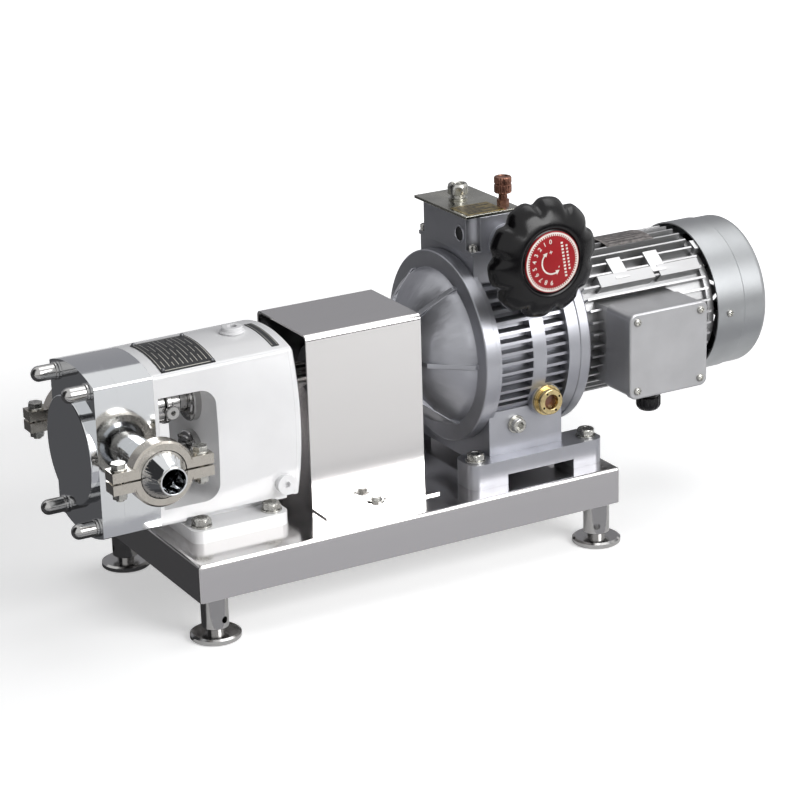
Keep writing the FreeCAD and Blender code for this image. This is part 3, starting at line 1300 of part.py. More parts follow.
def make_variator_housing():
    """Finned drum between two rings, with a pedestal on rails and a saddle for the controls."""
    drum = DRUM_R
    tip = FIN_R
    ring = FLANGE_R - 1
    shell = lathe("Drum", [(RING_FRONT, ring), (FIN_FRONT, ring), (FIN_FRONT, drum),
                           (FIN_BACK, drum), (FIN_BACK, ring), (RING_BACK, ring)])
    put(shell, 0, 0, LINE_Z, ALONG_X)
    fins = []
    for number in range(-4, 8):
        level = LINE_Z + d.fin_pitch * number
        fins.append(block(f"Fin{number + 4}", (FIN_FRONT - 1, FIN_BACK + 1), (-tip, tip),
                          (level - d.fin_thick / 2, level + d.fin_thick / 2)))
    reach = cylinder("FinReach", tip, d.fin_zone + 2, FIN_FRONT - 1, 0, LINE_Z, ALONG_X)
    fin_stack = overlap("FinStack", union("FinPlates", fins), reach)
    band = cylinder("Band", tip, d.band_width, FIN_FRONT + d.band_start, 0, LINE_Z, ALONG_X)
    lower_shell = cylinder("LowerShell", tip, d.fin_zone + 2, FIN_FRONT - 1, 0, LINE_Z, ALONG_X)
    lower_keep = block("LowerKeep", (FIN_FRONT - 1, FIN_BACK + 1), (-tip, tip),
                       (LINE_Z - tip, LINE_Z - d.fin_pitch * 4.6))
    lower = overlap("LowerDrum", lower_shell, lower_keep)
    stand = block("Stand", (d.stand_start, d.stand_start + d.stand_length),
                  (-STAND_HALF, STAND_HALF), (RAIL_TOP - 2, LINE_Z - d.fin_pitch * 5.2))
    saddle_half = d.saddle_width / 2
    saddle = block("Saddle", (d.saddle_start + 2, d.saddle_start + d.saddle_length),
                   (-saddle_half, saddle_half), (LINE_Z + drum - 22, SADDLE_TOP))
    sight_x, sight_z = SIGHT_PLACE
    sight = cylinder("SightBoss", 17, SIGHT_FACE - 50, sight_x, -50, sight_z, TOWARDS_VIEWER)
    upper = union("DrumWithFins", [shell, fin_stack, band, lower, sight])
    foot = union("PedestalOnRails", [stand] + rail_pieces())
    room = cylinder("DrumRoom", drum - d.drum_wall, FIN_BACK - 6 - RING_FRONT + 1, RING_FRONT - 1,
                    0, LINE_Z, ALONG_X)
    through = cylinder("DrumThrough", 30, 40, FIN_BACK - 10, 0, LINE_Z, ALONG_X)
    pit_half = saddle_half - d.control_wall
    pit = block("SaddlePit", (d.saddle_start + d.control_wall + 2,
                              d.saddle_start + d.saddle_length - d.control_wall),
                (-pit_half, pit_half), (LINE_Z + drum + 6, SADDLE_TOP + 1))
    hole_r = d.bolt_d / 2 + d.bolt_hole_gap
    deep = d.pad_rise + d.rail_thick + 30
    holes = [cylinder(f"RailHole{number}", hole_r, deep, x, y, BASE_TOP - 5)
             for number, (x, y, z) in enumerate(bolt_places()[1])]
    housing = difference("VariatorHousing", union("VariatorSolid", [upper, foot, saddle]),
                         [room, through, pit] + holes)
    sub_part(housing, "variator_housing")


def rail_pieces():
    """A rounded rail on each side, relieved to stand on two pads, and the web between them."""
    pieces = []
    end = d.rail_start + d.rail_length
    for side in (-1, 1):
        outer, inner = side * RAIL_REACH, side * (RAIL_REACH - d.rail_width)
        low, high = (outer, inner) if side < 0 else (inner, outer)
        body = new_body(f"Rail{side + 1}")
        sketch = new_sketch(body, "XY_Plane", BASE_TOP)
        draw_loop(sketch, [(d.rail_start, low), (end, low), (end, high), (d.rail_start, high)])
        pad(body, sketch, d.pad_rise + d.rail_thick)
        dress(body, "Fillet", d.rail_round, lambda edge: runs_along(edge, "z"))
        sketch = new_sketch(body, "XZ_Plane")
        first, last = d.rail_start + d.pad_length, end - d.pad_length * 0.9
        draw_loop(sketch, [(first, BASE_TOP - 1), (last, BASE_TOP - 1),
                           (last, BASE_TOP + d.pad_rise), (first, BASE_TOP + d.pad_rise)])
        pocket(body, sketch)
        pieces.append(body)
    half = RAIL_REACH - d.rail_width + 4
    pieces.append(block("Web", (d.stand_start, d.stand_start + d.stand_length), (-half, half),
                        (BASE_TOP + d.pad_rise, RAIL_TOP)))
    return pieces


def make_foot_bolts():
    """Hexagon bolts through the pump foot and the variator's rails into the base."""
    pump, rails = bolt_places()
    short = bolt_shape("ShortBolt", d.bolt_d, d.bolt_head_af, d.bolt_head_rise,
                       d.housing_foot_thick + d.base_sheet + 8)
    pump_set = copies("PumpBolts", short, pump)
    long = bolt_shape("LongBolt", d.bolt_d, d.bolt_head_af, d.bolt_head_rise,
                      d.pad_rise + d.rail_thick + d.base_sheet + 8)
    rail_set = copies("RailBolts", long, rails)
    sub_part(group("FootBolts", [pump_set, rail_set]), "foot_bolts")


CARRIER_X = RING_FRONT + 22
RACE_SEAT_R = DRUM_R - d.drum_wall
RACE_R = RACE_SEAT_R - d.race_depth
SUN_R = RACE_R * 0.35


def make_variator_inside():
    """Output shaft with its disc carrier, four rolling discs, and a fixed race round them."""
    end = CARRIER_X + 10
    shaft = lathe("VariatorShaft", [(COUPLING_FACE, SHAFT_R - 1), (COUPLING_FACE + 1, SHAFT_R),
                                    (CARRIER_X, SHAFT_R), (CARRIER_X, RACE_R - 4),
                                    (end, RACE_R - 4)])
    sub_part(shaft, "variator_output_shaft", 0, 0, LINE_Z, ALONG_X)
    rim = (RACE_R - SUN_R) / 2 - d.disc_play
    disc = turned("RollingDisc", [(0, 0), (rim - 1, 3), (rim, 5), (rim - 1, 7), (0, 10)])
    orbit = (RACE_R + SUN_R) / 2
    places = []
    for number in range(4):
        angle = math.pi / 4 + math.pi / 2 * number
        places.append((end, orbit * math.cos(angle), LINE_Z + orbit * math.sin(angle)))
    sub_part(copies("RollingDiscs", disc, places, ALONG_X), "rolling_discs")
    race = turned("Race", [(RACE_R + 1.2, 0), (RACE_SEAT_R, 0), (RACE_SEAT_R, 18),
                           (RACE_R + 1.2, 18), (RACE_R, 11), (RACE_R, 7)])
    sub_part(race, "outer_race", end - 4, 0, LINE_Z, ALONG_X)


def make_sight_glass():
    """Brass ring and lens of the oil sight, on a round boss of the pedestal."""
    x, z = SIGHT_PLACE
    ring = turned("SightRing", [(6.5, 0), (16, 0), (16, 3), (13.6, 3), (13.6, 9.5), (12.8, 10.5),
                                (8, 10.5), (6.5, 7)])
    sub_part(ring, "sight_ring", x, -SIGHT_FACE, z, TOWARDS_VIEWER)
    lens = lathe("SightLens", [(0, 6.5), (4, 6.5)])
    sub_part(lens, "sight_lens", x, -SIGHT_FACE, z, TOWARDS_VIEWER)


def make_drain_plug():
    """Oil drain plug with a washer and a hexagon socket."""
    plug = lathe("DrainPlug", [(0, 9.5), (1.5, 9.5), (1.5, 7.6), (8, 7.6), (9, 6.8)])
    sketch = new_sketch(plug, "XY_Plane", 9)
    corner = Dim.of(4.6)
    angles = [math.radians(60 * number) for number in range(6)]
    draw_loop(sketch, [(corner * math.cos(a), corner * math.sin(a)) for a in angles])
    pocket(plug, sketch, 5)
    sub_part(plug, "drain_plug", d.stand_start + d.drain_along, -STAND_HALF,
             LINE_Z - d.drain_drop, TOWARDS_VIEWER)


# Control box, handwheel and what they move

def make_control_box():
    """Control box with recessed corners for its screws, a boss for the spindle and a port."""
    start = d.saddle_start
    stop = start + d.saddle_length
    half = d.saddle_width / 2
    cut = d.corner_cut
    body = new_body("ControlBox")
    sketch = new_sketch(body, "XY_Plane")
    draw_loop(sketch, [(start, -half), (stop, -half), (stop, half), (start, half)])
    pad(body, sketch, d.control_height)
    sketch = new_sketch(body, "XY_Plane", 4)
    for x in (start, stop):
        for y in (-half, half):
            draw_circles(sketch, [(x, y, cut)])
    pocket(body, sketch, d.control_height, backwards=True)
    sketch = new_sketch(body, "XY_Plane", -1)
    wall = d.control_wall
    draw_loop(sketch, [(start + wall + 2, -half + wall + 2), (stop - wall - 2, -half + wall + 2),
                       (stop - wall - 2, half - wall - 2), (start + wall + 2, half - wall - 2)])
    pocket(body, sketch, d.control_height + 1 - 4, backwards=True)
    sketch = new_sketch(body, "XZ_Plane", half)
    draw_circles(sketch, [(d.wheel_along, WHEEL_Z - SADDLE_TOP, 18)])
    pad(body, sketch, BOSS_REACH - half)
    sketch = new_sketch(body, "XZ_Plane", BOSS_REACH + 1)
    draw_circles(sketch, [(d.wheel_along, WHEEL_Z - SADDLE_TOP, d.spindle_d / 2 + d.spindle_play)])
    pocket(body, sketch, BOSS_REACH + 1)
    sketch = new_sketch(body, "YZ_Plane", start - 1)
    draw_circles(sketch, [(d.plugged_port_y, d.plugged_port_rise, d.plugged_port_d / 2)])
    pocket(body, sketch, 5, backwards=True)
    sub_part(body, "control_box", 0, 0, SADDLE_TOP)
    lid_half = half - 1
    lid = block("Lid", (start - d.lid_lap, stop - 4), (-lid_half, lid_half),
                (CONTROL_TOP, LID_TOP))
    sub_part(lid, "control_lid", start - d.lid_lap, -lid_half, CONTROL_TOP)


BOSS_REACH = Dim.of(76.0)


def make_control_fixings():
    """Corner screws of the control box, the oil filler on its lid and the vent beside it."""
    inset = d.corner_cut * 0.4
    start = d.saddle_start + inset
    stop = d.saddle_start + d.saddle_length - inset
    half = d.saddle_width / 2 - inset
    screw = lathe("BoxScrew", [(0, 4.4), (6, 4.4), (6.8, 3.6)])
    places = [(x, y, SADDLE_TOP + 4) for x in (start, stop) for y in (-half, half)]
    SMALL_SCREWS.append(copies("BoxScrews", screw, places))
    filler = lathe("Filler", [(0, 8), (5, 8), (5, 11), (8, 11)])
    sketch = new_sketch(filler, "XY_Plane", 8)
    angles = [math.radians(60 * number + 15) for number in range(6)]
    draw_loop(sketch, [(10.4 * math.cos(a), 10.4 * math.sin(a)) for a in angles])
    pad(filler, sketch, 9)
    sketch = new_sketch(filler, "XY_Plane", 17)
    draw_circles(sketch, [(0, 0, 5.5)])
    pocket(filler, sketch, 9)
    sub_part(filler, "oil_filler", d.saddle_start + d.filler_along, d.filler_y, LID_TOP)
    vent = lathe("Vent", [(0, 5.5), (11.5, 5.5), (11.5, 8.2), (12.5, 9), (27, 9), (28.5, 8)])
    sub_part(vent, "vent_cap", d.saddle_start + d.vent_along, d.vent_y, LID_TOP)


def make_handwheel():
    """Lobed handwheel: a thick scalloped rim dished to a hub, bored for the spindle."""
    lobes = 10
    outer = d.wheel_d / 2
    rim_back = d.wheel_face - d.wheel_thick
    face = d.wheel_face
    bore = d.spindle_d / 2 + d.fit_gap
    hub = d.wheel_hub_d / 2
    dial_edge = d.dial_d / 2
    body = turned("Handwheel", [(bore, BOSS_REACH + 0.6), (hub, BOSS_REACH + 0.6),
                                (hub, rim_back + 8), (outer - 22, rim_back + 6),
                                (outer - 16, rim_back), (outer - 4, rim_back),
                                (outer, rim_back + 4), (outer, face - 8), (outer - 7, face - 1),
                                (outer - 14, face - 1), (outer - 24, face - 5),
                                (dial_edge + 2, face - 3), (dial_edge + 1, face), (bore, face)])
    sketch = new_sketch(body, "XY_Plane", rim_back - 1)
    scallop = outer * math.sin(math.pi / lobes) * 0.72
    draw_circles(sketch, [(outer + scallop - d.wheel_lobe, 0, scallop)])
    notch = pocket(body, sketch, d.wheel_thick + 2, backwards=True)
    polar(body, notch, "Z_Axis", lobes)
    sub_part(body, "handwheel", d.wheel_along, 0, WHEEL_Z,
             FreeCAD.Rotation(V(0, 1, 0), 9) * TOWARDS_VIEWER)
    dial = lathe("Dial", [(d.wheel_face, d.dial_d / 2), (DIAL_FACE - 0.6, d.dial_d / 2),
                          (DIAL_FACE, d.dial_d / 2 - 0.6)])
    sub_part(dial, "dial_disc", d.wheel_along, 0, WHEEL_Z, TOWARDS_VIEWER)


def make_control_spindle():
    """The spindle that the handwheel turns, with the nut that it drives across the box."""
    inner = d.saddle_width / 2 - d.control_wall - 4
    spindle = lathe("Spindle", [(-inner, d.spindle_d / 2), (d.wheel_face - 3, d.spindle_d / 2)])
    sub_part(spindle, "control_spindle", d.wheel_along, 0, WHEEL_Z, TOWARDS_VIEWER)
    body = new_body("ControlNut")
    sketch = new_sketch(body, "XZ_Plane")
    draw_loop(sketch, [(-9, -12), (9, -12), (9, 9), (-9, 9)])
    pad(body, sketch, 18, middle=True)
    sketch = new_sketch(body, "XZ_Plane")
    draw_circles(sketch, [(0, 0, d.spindle_d / 2 + d.spindle_play)])
    pocket(body, sketch)
    sub_part(body, "control_nut", d.wheel_along, 0, WHEEL_Z)


# Motor

MOTOR_SHAFT_R = d.motor_shaft_d / 2
FRONT_MOTOR_BEARING = MOTOR_FLANGE_BACK - 2
REAR_MOTOR_BEARING = MOTOR_BACK - 3


def make_motor_flange():
    """Motor flange and front end shield in one, with a seat for the front bearing."""
    seat = d.motor_bearing_d / 2
    spigot = d.motor_bore_d / 2 - 0.5
    body = turned("MotorFlange", [(MOTOR_SHAFT_R + 1.5, RING_BACK), (FLANGE_R - 1, RING_BACK),
                                  (FLANGE_R, RING_BACK + 1), (FLANGE_R, MOTOR_FLANGE_BACK - 2),
                                  (FLANGE_R - 2, MOTOR_FLANGE_BACK), (62, MOTOR_FLANGE_BACK),
                                  (64, MOTOR_FRONT), (seat + 6, MOTOR_FRONT),
                                  (seat + 6, FRONT_MOTOR_BEARING + d.motor_bearing_width),
                                  (seat, FRONT_MOTOR_BEARING + d.motor_bearing_width),
                                  (seat, FRONT_MOTOR_BEARING),
                                  (MOTOR_SHAFT_R + 1.5, FRONT_MOTOR_BEARING)])
    sub_part(body, "motor_flange", 0, 0, LINE_Z, ALONG_X)


def make_motor_frame():
    """Motor frame with radial fins, the seat of the terminal box and cast foot pads."""
    core = d.motor_core_d / 2
    tip = d.motor_fin_d / 2
    body = lathe("MotorFrame", [(MOTOR_FRONT, core), (MOTOR_BACK, core)], d.motor_bore_d / 2)
    sketch = new_sketch(body, "XY_Plane", MOTOR_FRONT + 1)
    half = d.motor_fin_thick / 2
    draw_loop(sketch, [(core - 2, -half), (tip, -half), (tip, half), (core - 2, half)])
    fin = pad(body, sketch, d.motor_fin_length - 1)
    polar(body, fin, "Z_Axis", 40)
    put(body, 0, 0, LINE_Z, FreeCAD.Rotation(V(1, 0, 0), 4.5) * ALONG_X)
    box_stop = BOX_FRONT + d.box_length
    low = BOX_Z - d.box_height / 2
    high = BOX_Z + d.box_height / 2
    seat = block("BoxSeat", (BOX_FRONT + 4, box_stop - 4), (-d.box_seat, -core * 0.6),
                 (low + 4, high - 4))
    pads = []
    length = d.motor_fin_length
    for number, (first, last, leg) in enumerate(((0.14, 0.59, 0.28), (0.64, 0.98, 0.59))):
        x_pair = (MOTOR_FRONT + length * first, MOTOR_FRONT + length * last)
        pads.append(spoke(f"Pad{number}", x_pair, (core - 4, tip + 1.5), 13, 47))
        leg_pair = (MOTOR_FRONT + length * leg, MOTOR_FRONT + length * leg + 17)
        pads.append(spoke(f"PadLeg{number}", leg_pair, (core - 4, tip + 1), 26, 38))
    room = cylinder("MotorRoom", d.motor_bore_d / 2, d.motor_fin_length + 2, MOTOR_FRONT - 1, 0,
                    LINE_Z, ALONG_X)
    frame = difference("MotorFrameDone", union("MotorFrameSolid", [body, seat] + pads), [room])
    sub_part(frame, "motor_frame")


def make_end_shield():
    """Rear end shield with the rear bearing seat and three lugs that carry the cowl."""
    seat = d.motor_bearing_d / 2
    bearing_end = REAR_MOTOR_BEARING + d.motor_bearing_width
    body = turned("EndShield", [(seat, MOTOR_BACK), (72, MOTOR_BACK), (72, MOTOR_BACK + 8),
                                (66, MOTOR_BACK + 12), (seat + 6, bearing_end + 3),
                                (MOTOR_SHAFT_R + 0.8, bearing_end + 3),
                                (MOTOR_SHAFT_R + 0.8, bearing_end), (seat, bearing_end)])
    sketch = new_sketch(body, "XY_Plane", MOTOR_BACK + 2)
    lug = d.cowl_d / 2 - d.cowl_sheet - 0.3
    half = d.lug_width / 2
    draw_loop(sketch, [(-lug, -half), (-60, -half), (-60, half), (-lug, half)])
    arm = pad(body, sketch, 22)
    polar(body, arm, "Z_Axis", 3)
    put(body, 0, 0, LINE_Z, FreeCAD.Rotation(V(1, 0, 0), -90) * ALONG_X)
    hollow = cylinder("ShieldHollow", d.fan_d / 2 + 4, 40, MOTOR_BACK + 14, 0, LINE_Z, ALONG_X)
    sub_part(difference("EndShieldDone", body, [hollow]), "motor_end_shield")


def make_motor_inside():
    """Stator, the shaft with its rotor core, the two bearings and the fan."""
    bore = d.motor_bore_d / 2
    stator_start = MOTOR_FRONT + 28
    core_length = d.motor_fin_length - 60
    gap_r = Dim.of(38.0)
    stator = lathe("Stator", [(0, 54), (10, 56), (10, bore), (core_length - 10, bore),
                              (core_length - 10, 56), (core_length, 54)], gap_r + d.air_gap)
    sub_part(stator, "stator", stator_start, 0, LINE_Z, ALONG_X)
    sun = CARRIER_X + 24
    bearing_end = REAR_MOTOR_BEARING + d.motor_bearing_width
    rotor = lathe("MotorRotor", [(sun, SUN_R), (sun + 8, SUN_R), (sun + 8, MOTOR_SHAFT_R),
                                 (stator_start + 8, MOTOR_SHAFT_R), (stator_start + 8, gap_r),
                                 (stator_start + core_length - 8, gap_r),
                                 (stator_start + core_length - 8, MOTOR_SHAFT_R),
                                 (bearing_end + 25, MOTOR_SHAFT_R)])
    sub_part(rotor, "motor_rotor", 0, 0, LINE_Z, ALONG_X)
    fan = lathe("Fan", [(0, 16), (18, 16), (18, 15)], MOTOR_SHAFT_R + d.fit_gap)
    sketch = new_sketch(fan, "XY_Plane", 2)
    blade_tip = d.fan_d / 2
    draw_loop(sketch, [(14, -1.2), (blade_tip, -1.2), (blade_tip, 1.2), (14, 1.2)])
    blade = pad(fan, sketch, 14)
    polar(fan, blade, "Z_Axis", 8)
    sub_part(fan, "cooling_fan", bearing_end + 6, 0, LINE_Z, ALONG_X)


def make_cowl():
    """Fan cowl: a stepped sheet drum with a rounded back and a slotted grille."""
    outer = d.cowl_d / 2
    sheet_t = d.cowl_sheet
    step = d.cowl_step_at
    back = d.cowl_length
    small = outer - d.cowl_step
    r = d.cowl_round
    body = turned("Cowl", [(outer - sheet_t, 0), (outer, 0), (outer, step), (small, step + 1.5),
                           (small, back - r), (small - r, back), (0, back), (0, back - sheet_t),
                           (small - r, back - sheet_t), (small - sheet_t, back - r),
                           (small - sheet_t, step + 1.5), (outer - sheet_t, step)], {4: r})
    for first, last, count in ((16, 30, 8), (38, 62, 16)):
        sketch = new_sketch(body, "XY_Plane", d.cowl_length)
        draw_loop(sketch, [(first, -2.2), (last, -2.2), (last, 2.2), (first, 2.2)])
        slot = pocket(body, sketch, sheet_t + 1)
        polar(body, slot, "Z_Axis", count)
    sub_part(body, "fan_cowl", COWL_FRONT, 0, LINE_Z, ALONG_X)
    screw = lathe("CowlScrew", [(0, 4), (1.6, 3.6), (2.4, 2.2)])
    SMALL_SCREWS.append(copies("CowlScrews", screw, [(COWL_FRONT + 15, -outer, LINE_Z)],
                               TOWARDS_VIEWER))


def make_terminal_box():
    """Terminal box, its screwed lid, and the cable gland under it."""
    stop = BOX_FRONT + d.box_length
    low = BOX_Z - d.box_height / 2
    high = BOX_Z + d.box_height / 2
    face = d.box_face - d.box_lid_thick
    inset = Dim.of(1.2)
    wall = d.box_wall

    def square(sketch, margin):
        draw_loop(sketch, [(BOX_FRONT + margin, low + margin), (stop - margin, low + margin),
                           (stop - margin, high - margin), (BOX_FRONT + margin, high - margin)])

    body = new_body("TerminalBox")
    sketch = new_sketch(body, "XZ_Plane", d.box_seat)
    square(sketch, inset)
    pad(body, sketch, face - d.box_seat)
    dress(body, "Fillet", d.box_round - inset, lambda edge: runs_along(edge, "y"))
    sketch = new_sketch(body, "XZ_Plane", face)
    square(sketch, inset + wall + 4)
    pocket(body, sketch, face - d.box_seat - wall)
    sketch = new_sketch(body, "XY_Plane", low - 1)
    draw_circles(sketch, [(GLAND_X, -GLAND_Y, 8)])
    pocket(body, sketch, wall + 8, backwards=True)
    sub_part(body, "terminal_box")
    lid = new_body("BoxLid")
    sketch = new_sketch(lid, "XZ_Plane", face)
    square(sketch, 0)
    pad(lid, sketch, d.box_lid_thick)
    dress(lid, "Fillet", d.box_round, lambda edge: runs_along(edge, "y"))
    dress(lid, "Fillet", 2.2, lambda edge: at_height(edge, "y", -d.box_face.value))
    sub_part(lid, "terminal_box_lid")
    screw = lathe("LidScrew", [(0, 4.2), (1.5, 3.9), (2.6, 2.6)])
    gap = Dim.of(9.0)
    places = [(x, -d.box_face, z) for x in (BOX_FRONT + gap, stop - gap)
              for z in (low + gap, high - gap)]
    SMALL_SCREWS.append(copies("LidScrews", screw, places, TOWARDS_VIEWER))
    bore, nut, drop = d.gland_bore_d / 2, d.gland_d / 2, d.gland_drop
    gland = turned("Gland", [(bore, 0), (nut, 0), (nut, 13), (nut - 4, drop - 2),
                             (nut - 6, drop), (bore, drop)])
    upside_down = FreeCAD.Rotation(V(1, 0, 0), 180)
    sub_part(gland, "cable_gland", GLAND_X, -GLAND_Y, low + inset, upside_down)


GLAND_X = BOX_FRONT + d.gland_along
GLAND_Y = Dim.of(108.0)


def gather_small_screws():
    """The cover screws of the control box, fan cowl and terminal box as one set."""
    sub_part(group("SmallScrews", SMALL_SCREWS), "cover_screws")


def make_pump_plugs():
    """Oil filler plug on top of the gear room."""
    filler = lathe("PumpFiller", [(0, 13), (3, 13), (3, 10), (9, 10), (10, 9)])
    crown = PUMP_Z + d.housing_shoulder + d.case_crown * 0.9
    sub_part(filler, "pump_filler_plug", PUMP_BACK - d.filler_inset, 0, crown)


def make_name_plate():
    """Bare plate laid on the housing's arched top."""
    skin = housing_skin("PlateSkin", 0.95)
    under = housing_skin("PlateUnder", 0.15)
    plate = difference("PlateShell", skin, [under])
    start = HOUSING_FRONT + 11
    area = block("PlateArea", (start, start + 57), (-51, 22), (60, 120))
    piece = overlap("NamePlate", plate, area)
    sub_part(piece, "name_plate", 0, 0, PUMP_Z)


for make in (make_base, make_feet, make_pump_housing, make_gear_cover, make_rotor_case,
             make_front_cover, make_cover_fixings, make_port_fittings, make_clamps,
             make_clamp_bolts, make_pump_shafts, make_bearings, make_shaft_seals,
             make_rotors, make_timing_gears, make_coupling, make_guard, make_bell,
             make_variator_housing, make_foot_bolts, make_variator_inside, make_sight_glass,
             make_drain_plug, make_control_box, make_control_fixings, make_handwheel,
             make_control_spindle, make_motor_flange, make_motor_frame, make_end_shield,
             make_motor_inside, make_cowl, make_terminal_box, gather_small_screws,
             make_pump_plugs, make_name_plate):
    make()
doc.recompute()

failed = [thing.Label for thing in doc.Objects
          if "Invalid" in thing.State or "Error" in thing.State]
failed += [thing.Label for thing in SUB_PARTS
           if thing.Shape.isNull() or not thing.Shape.isValid()]
if failed:
    raise ValueError(f"these did not come out whole: {failed}")
os.makedirs("parts", exist_ok=True)
for thing in SUB_PARTS:
    thing.Shape.exportStep(f"parts/{thing.Label}.step")
    box = thing.Shape.BoundBox
    print(f"{thing.Label:24s} solids {len(thing.Shape.Solids)} volume {thing.Shape.Volume:10.0f} "
          f"x {box.XMin:7.1f} {box.XMax:7.1f} y {box.YMin:7.1f} {box.YMax:7.1f} "
          f"z {box.ZMin:7.1f} {box.ZMax:7.1f}")
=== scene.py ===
import bmesh
import bpy
import json
import math
from bpy.props import FloatProperty, FloatVectorProperty, IntProperty, PointerProperty
from mathutils import Matrix, Vector
from mathutils.bvhtree import BVHTree


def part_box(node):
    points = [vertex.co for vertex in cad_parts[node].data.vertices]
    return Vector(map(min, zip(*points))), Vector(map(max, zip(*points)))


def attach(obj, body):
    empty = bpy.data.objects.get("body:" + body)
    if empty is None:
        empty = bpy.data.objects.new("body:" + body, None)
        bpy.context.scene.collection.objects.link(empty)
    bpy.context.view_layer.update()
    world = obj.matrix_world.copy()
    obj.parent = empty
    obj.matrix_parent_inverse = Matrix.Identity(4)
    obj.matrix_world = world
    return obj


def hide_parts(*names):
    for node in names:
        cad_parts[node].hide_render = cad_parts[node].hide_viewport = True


bl_info = {
    "name": "Rotary lobe pump set",
    "version": (1, 0, 0),
    "blender": (4, 5, 0),
    "location": "3D View > Sidebar > Pump Set",
    "description": "Finishes a base-mounted rotary lobe pump with its variable-speed drive",
    "category": "Object",
}

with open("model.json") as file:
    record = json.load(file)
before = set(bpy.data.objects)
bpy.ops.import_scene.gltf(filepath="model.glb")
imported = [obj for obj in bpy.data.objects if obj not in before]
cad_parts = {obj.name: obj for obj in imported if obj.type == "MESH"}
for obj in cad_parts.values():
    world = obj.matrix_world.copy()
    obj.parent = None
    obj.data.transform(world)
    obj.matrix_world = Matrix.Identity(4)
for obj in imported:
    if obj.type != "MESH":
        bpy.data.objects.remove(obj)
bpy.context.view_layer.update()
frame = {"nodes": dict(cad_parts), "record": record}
BODY_OF = {node: body for body, nodes in frame["record"]["behaviour"]["bodies"].items()
           for node in nodes}
MM = 0.001
UP = (0, 0, 1)
TO_VIEWER = (0, -1, 0)
DOWN = (0, 0, -1)
TO_PUMP = (-1, 0, 0)
TO_MOTOR = (1, 0, 0)
ALONG_LINE = (0.02, 1, 1)
# Reach of the painted shade in corners, in millimetres.
CORNER_SHADE_REACH = 14
BOLT_WASHER, BOLT_HEAD = 2.04, 6.4
DIAL_GAP = 0.12


def linear(code):
    """An sRGB hex colour as the linear value that a shader takes."""
    channels = [int(code[i:i + 2], 16) / 255 for i in (1, 3, 5)]
    return tuple(c / 12.92 if c <= 0.04045 else ((c + 0.055) / 1.055) ** 2.4
                 for c in channels) + (1.0,)


# What a user would change

def colour_choice(name, description, code):
    """A colour in the panel, from its hex code."""
    return FloatVectorProperty(name=name, description=description, subtype="COLOR", size=4,
                               min=0.0, max=1.0, default=linear(code))


def length_choice(name, description, millimetres):
    """A length in the panel, from its millimetres."""
    return FloatProperty(name=name, description=description, subtype="DISTANCE", unit="LENGTH",
                         min=0.0, precision=5, default=millimetres * MM)


class PumpFinish(bpy.types.PropertyGroup):
    """Colours of the painted and moulded pieces"""
    enamel: colour_choice("Enamel", "Stoved enamel of the bearing housing", "#F7F7F8")
    # Partly the paint's own silver, partly a faint painted blue that stands for the cool
    # reflections on its shaded sides.
    casting_paint: colour_choice("Casting Paint", "Silver paint of the variable-speed gear",
                                 "#AFB0B6")
    motor_paint: colour_choice("Motor Paint", "Paint of the motor frame", "#C6C6C7")
    cowl: colour_choice("Cowl", "Paint of the motor's fan cowl", "#A4A6A8")
    box_grey: colour_choice("Box Grey", "Paint of the terminal box", "#BCBCBE")
    wheel: colour_choice("Wheel", "Moulding of the handwheel", "#0B0A0C")
    dial: colour_choice("Dial", "Printed ground of the dial", "#9E131B")
    plate: colour_choice("Plate", "Ground of the bare plates", "#343537")


class PumpSizes(bpy.types.PropertyGroup):
    """Sizes of the pieces that are drawn here in more detail than the solids"""
    wheel_lobes: IntProperty(name="Wheel Lobes", description="Finger hollows round the handwheel",
                             min=3, max=24, default=10)
    lobe_depth: length_choice("Lobe Depth", "Depth of the finger hollows", 5.6)
    knurls: IntProperty(name="Knurls", description="Grooves round the vent cap", min=8, max=60,
                        default=18)
    bolt_flats: length_choice("Bolt Flats", "Foot bolt heads across their flats", 17.0)
    thread_pitch: length_choice("Thread Pitch", "Pitch of the foot bolts", 1.5)
    dial_marks: IntProperty(name="Dial Marks", description="Marks round the edge of the dial",
                            min=12, max=120, default=72)
    casting_edge: length_choice("Casting Edge", "Radius on the edges of the castings", 0.8)


# Nodes and meshes

def add_node(tree, kind, settings=None, links=None):
    """Adds one shader node, sets its values and sockets, and links its inputs."""
    node = tree.nodes.new(kind)
    for name, value in (settings or {}).items():
        if isinstance(name, int) or name in node.inputs:
            node.inputs[name].default_value = value
        else:
            setattr(node, name, value)
    for name, source in (links or {}).items():
        tree.links.new(source, node.inputs[name])
    return node


def cleared(owner):
    """The emptied node tree of a material or a world."""
    owner.use_nodes = True
    owner.node_tree.nodes.clear()
    return owner.node_tree


def mapped(tree, source, from_min, from_max, to_min=0.0, to_max=1.0):
    """A value carried from one range into another and held to its ends."""
    return add_node(tree, "ShaderNodeMapRange",
                    {"From Min": from_min, "From Max": from_max, "To Min": to_min,
                     "To Max": to_max}, {"Value": source}).outputs["Result"]


def grains(tree, size, detail, stretch=(1, 1, 1)):
    """Noise on the set's own coordinates, its grains about this many millimetres apart."""
    spot = add_node(tree, "ShaderNodeTexCoord")
    space = add_node(tree, "ShaderNodeMapping", {"Scale": stretch},
                     {"Vector": spot.outputs["Object"]})
    return add_node(tree, "ShaderNodeTexNoise", {"Scale": 1.0 / (size * MM), "Detail": detail},
                    {"Vector": space.outputs["Vector"]}).outputs["Fac"]


def tinted(tree, shader, colour, shade, size):
    """Lets the colour drift to a shade of itself over patches of a real size."""
    mix = add_node(tree, "ShaderNodeMix", {"data_type": "RGBA"},
                   {"Factor": mapped(tree, grains(tree, size, 4.0), 0.35, 0.65)})
    first, second = [socket for socket in mix.inputs if socket.type == "RGBA"]
    first.default_value = colour
    second.default_value = tuple(channel * shade for channel in colour[:3]) + (1.0,)
    result = next(socket for socket in mix.outputs if socket.type == "RGBA")
    tree.links.new(result, shader.inputs["Base Color"])


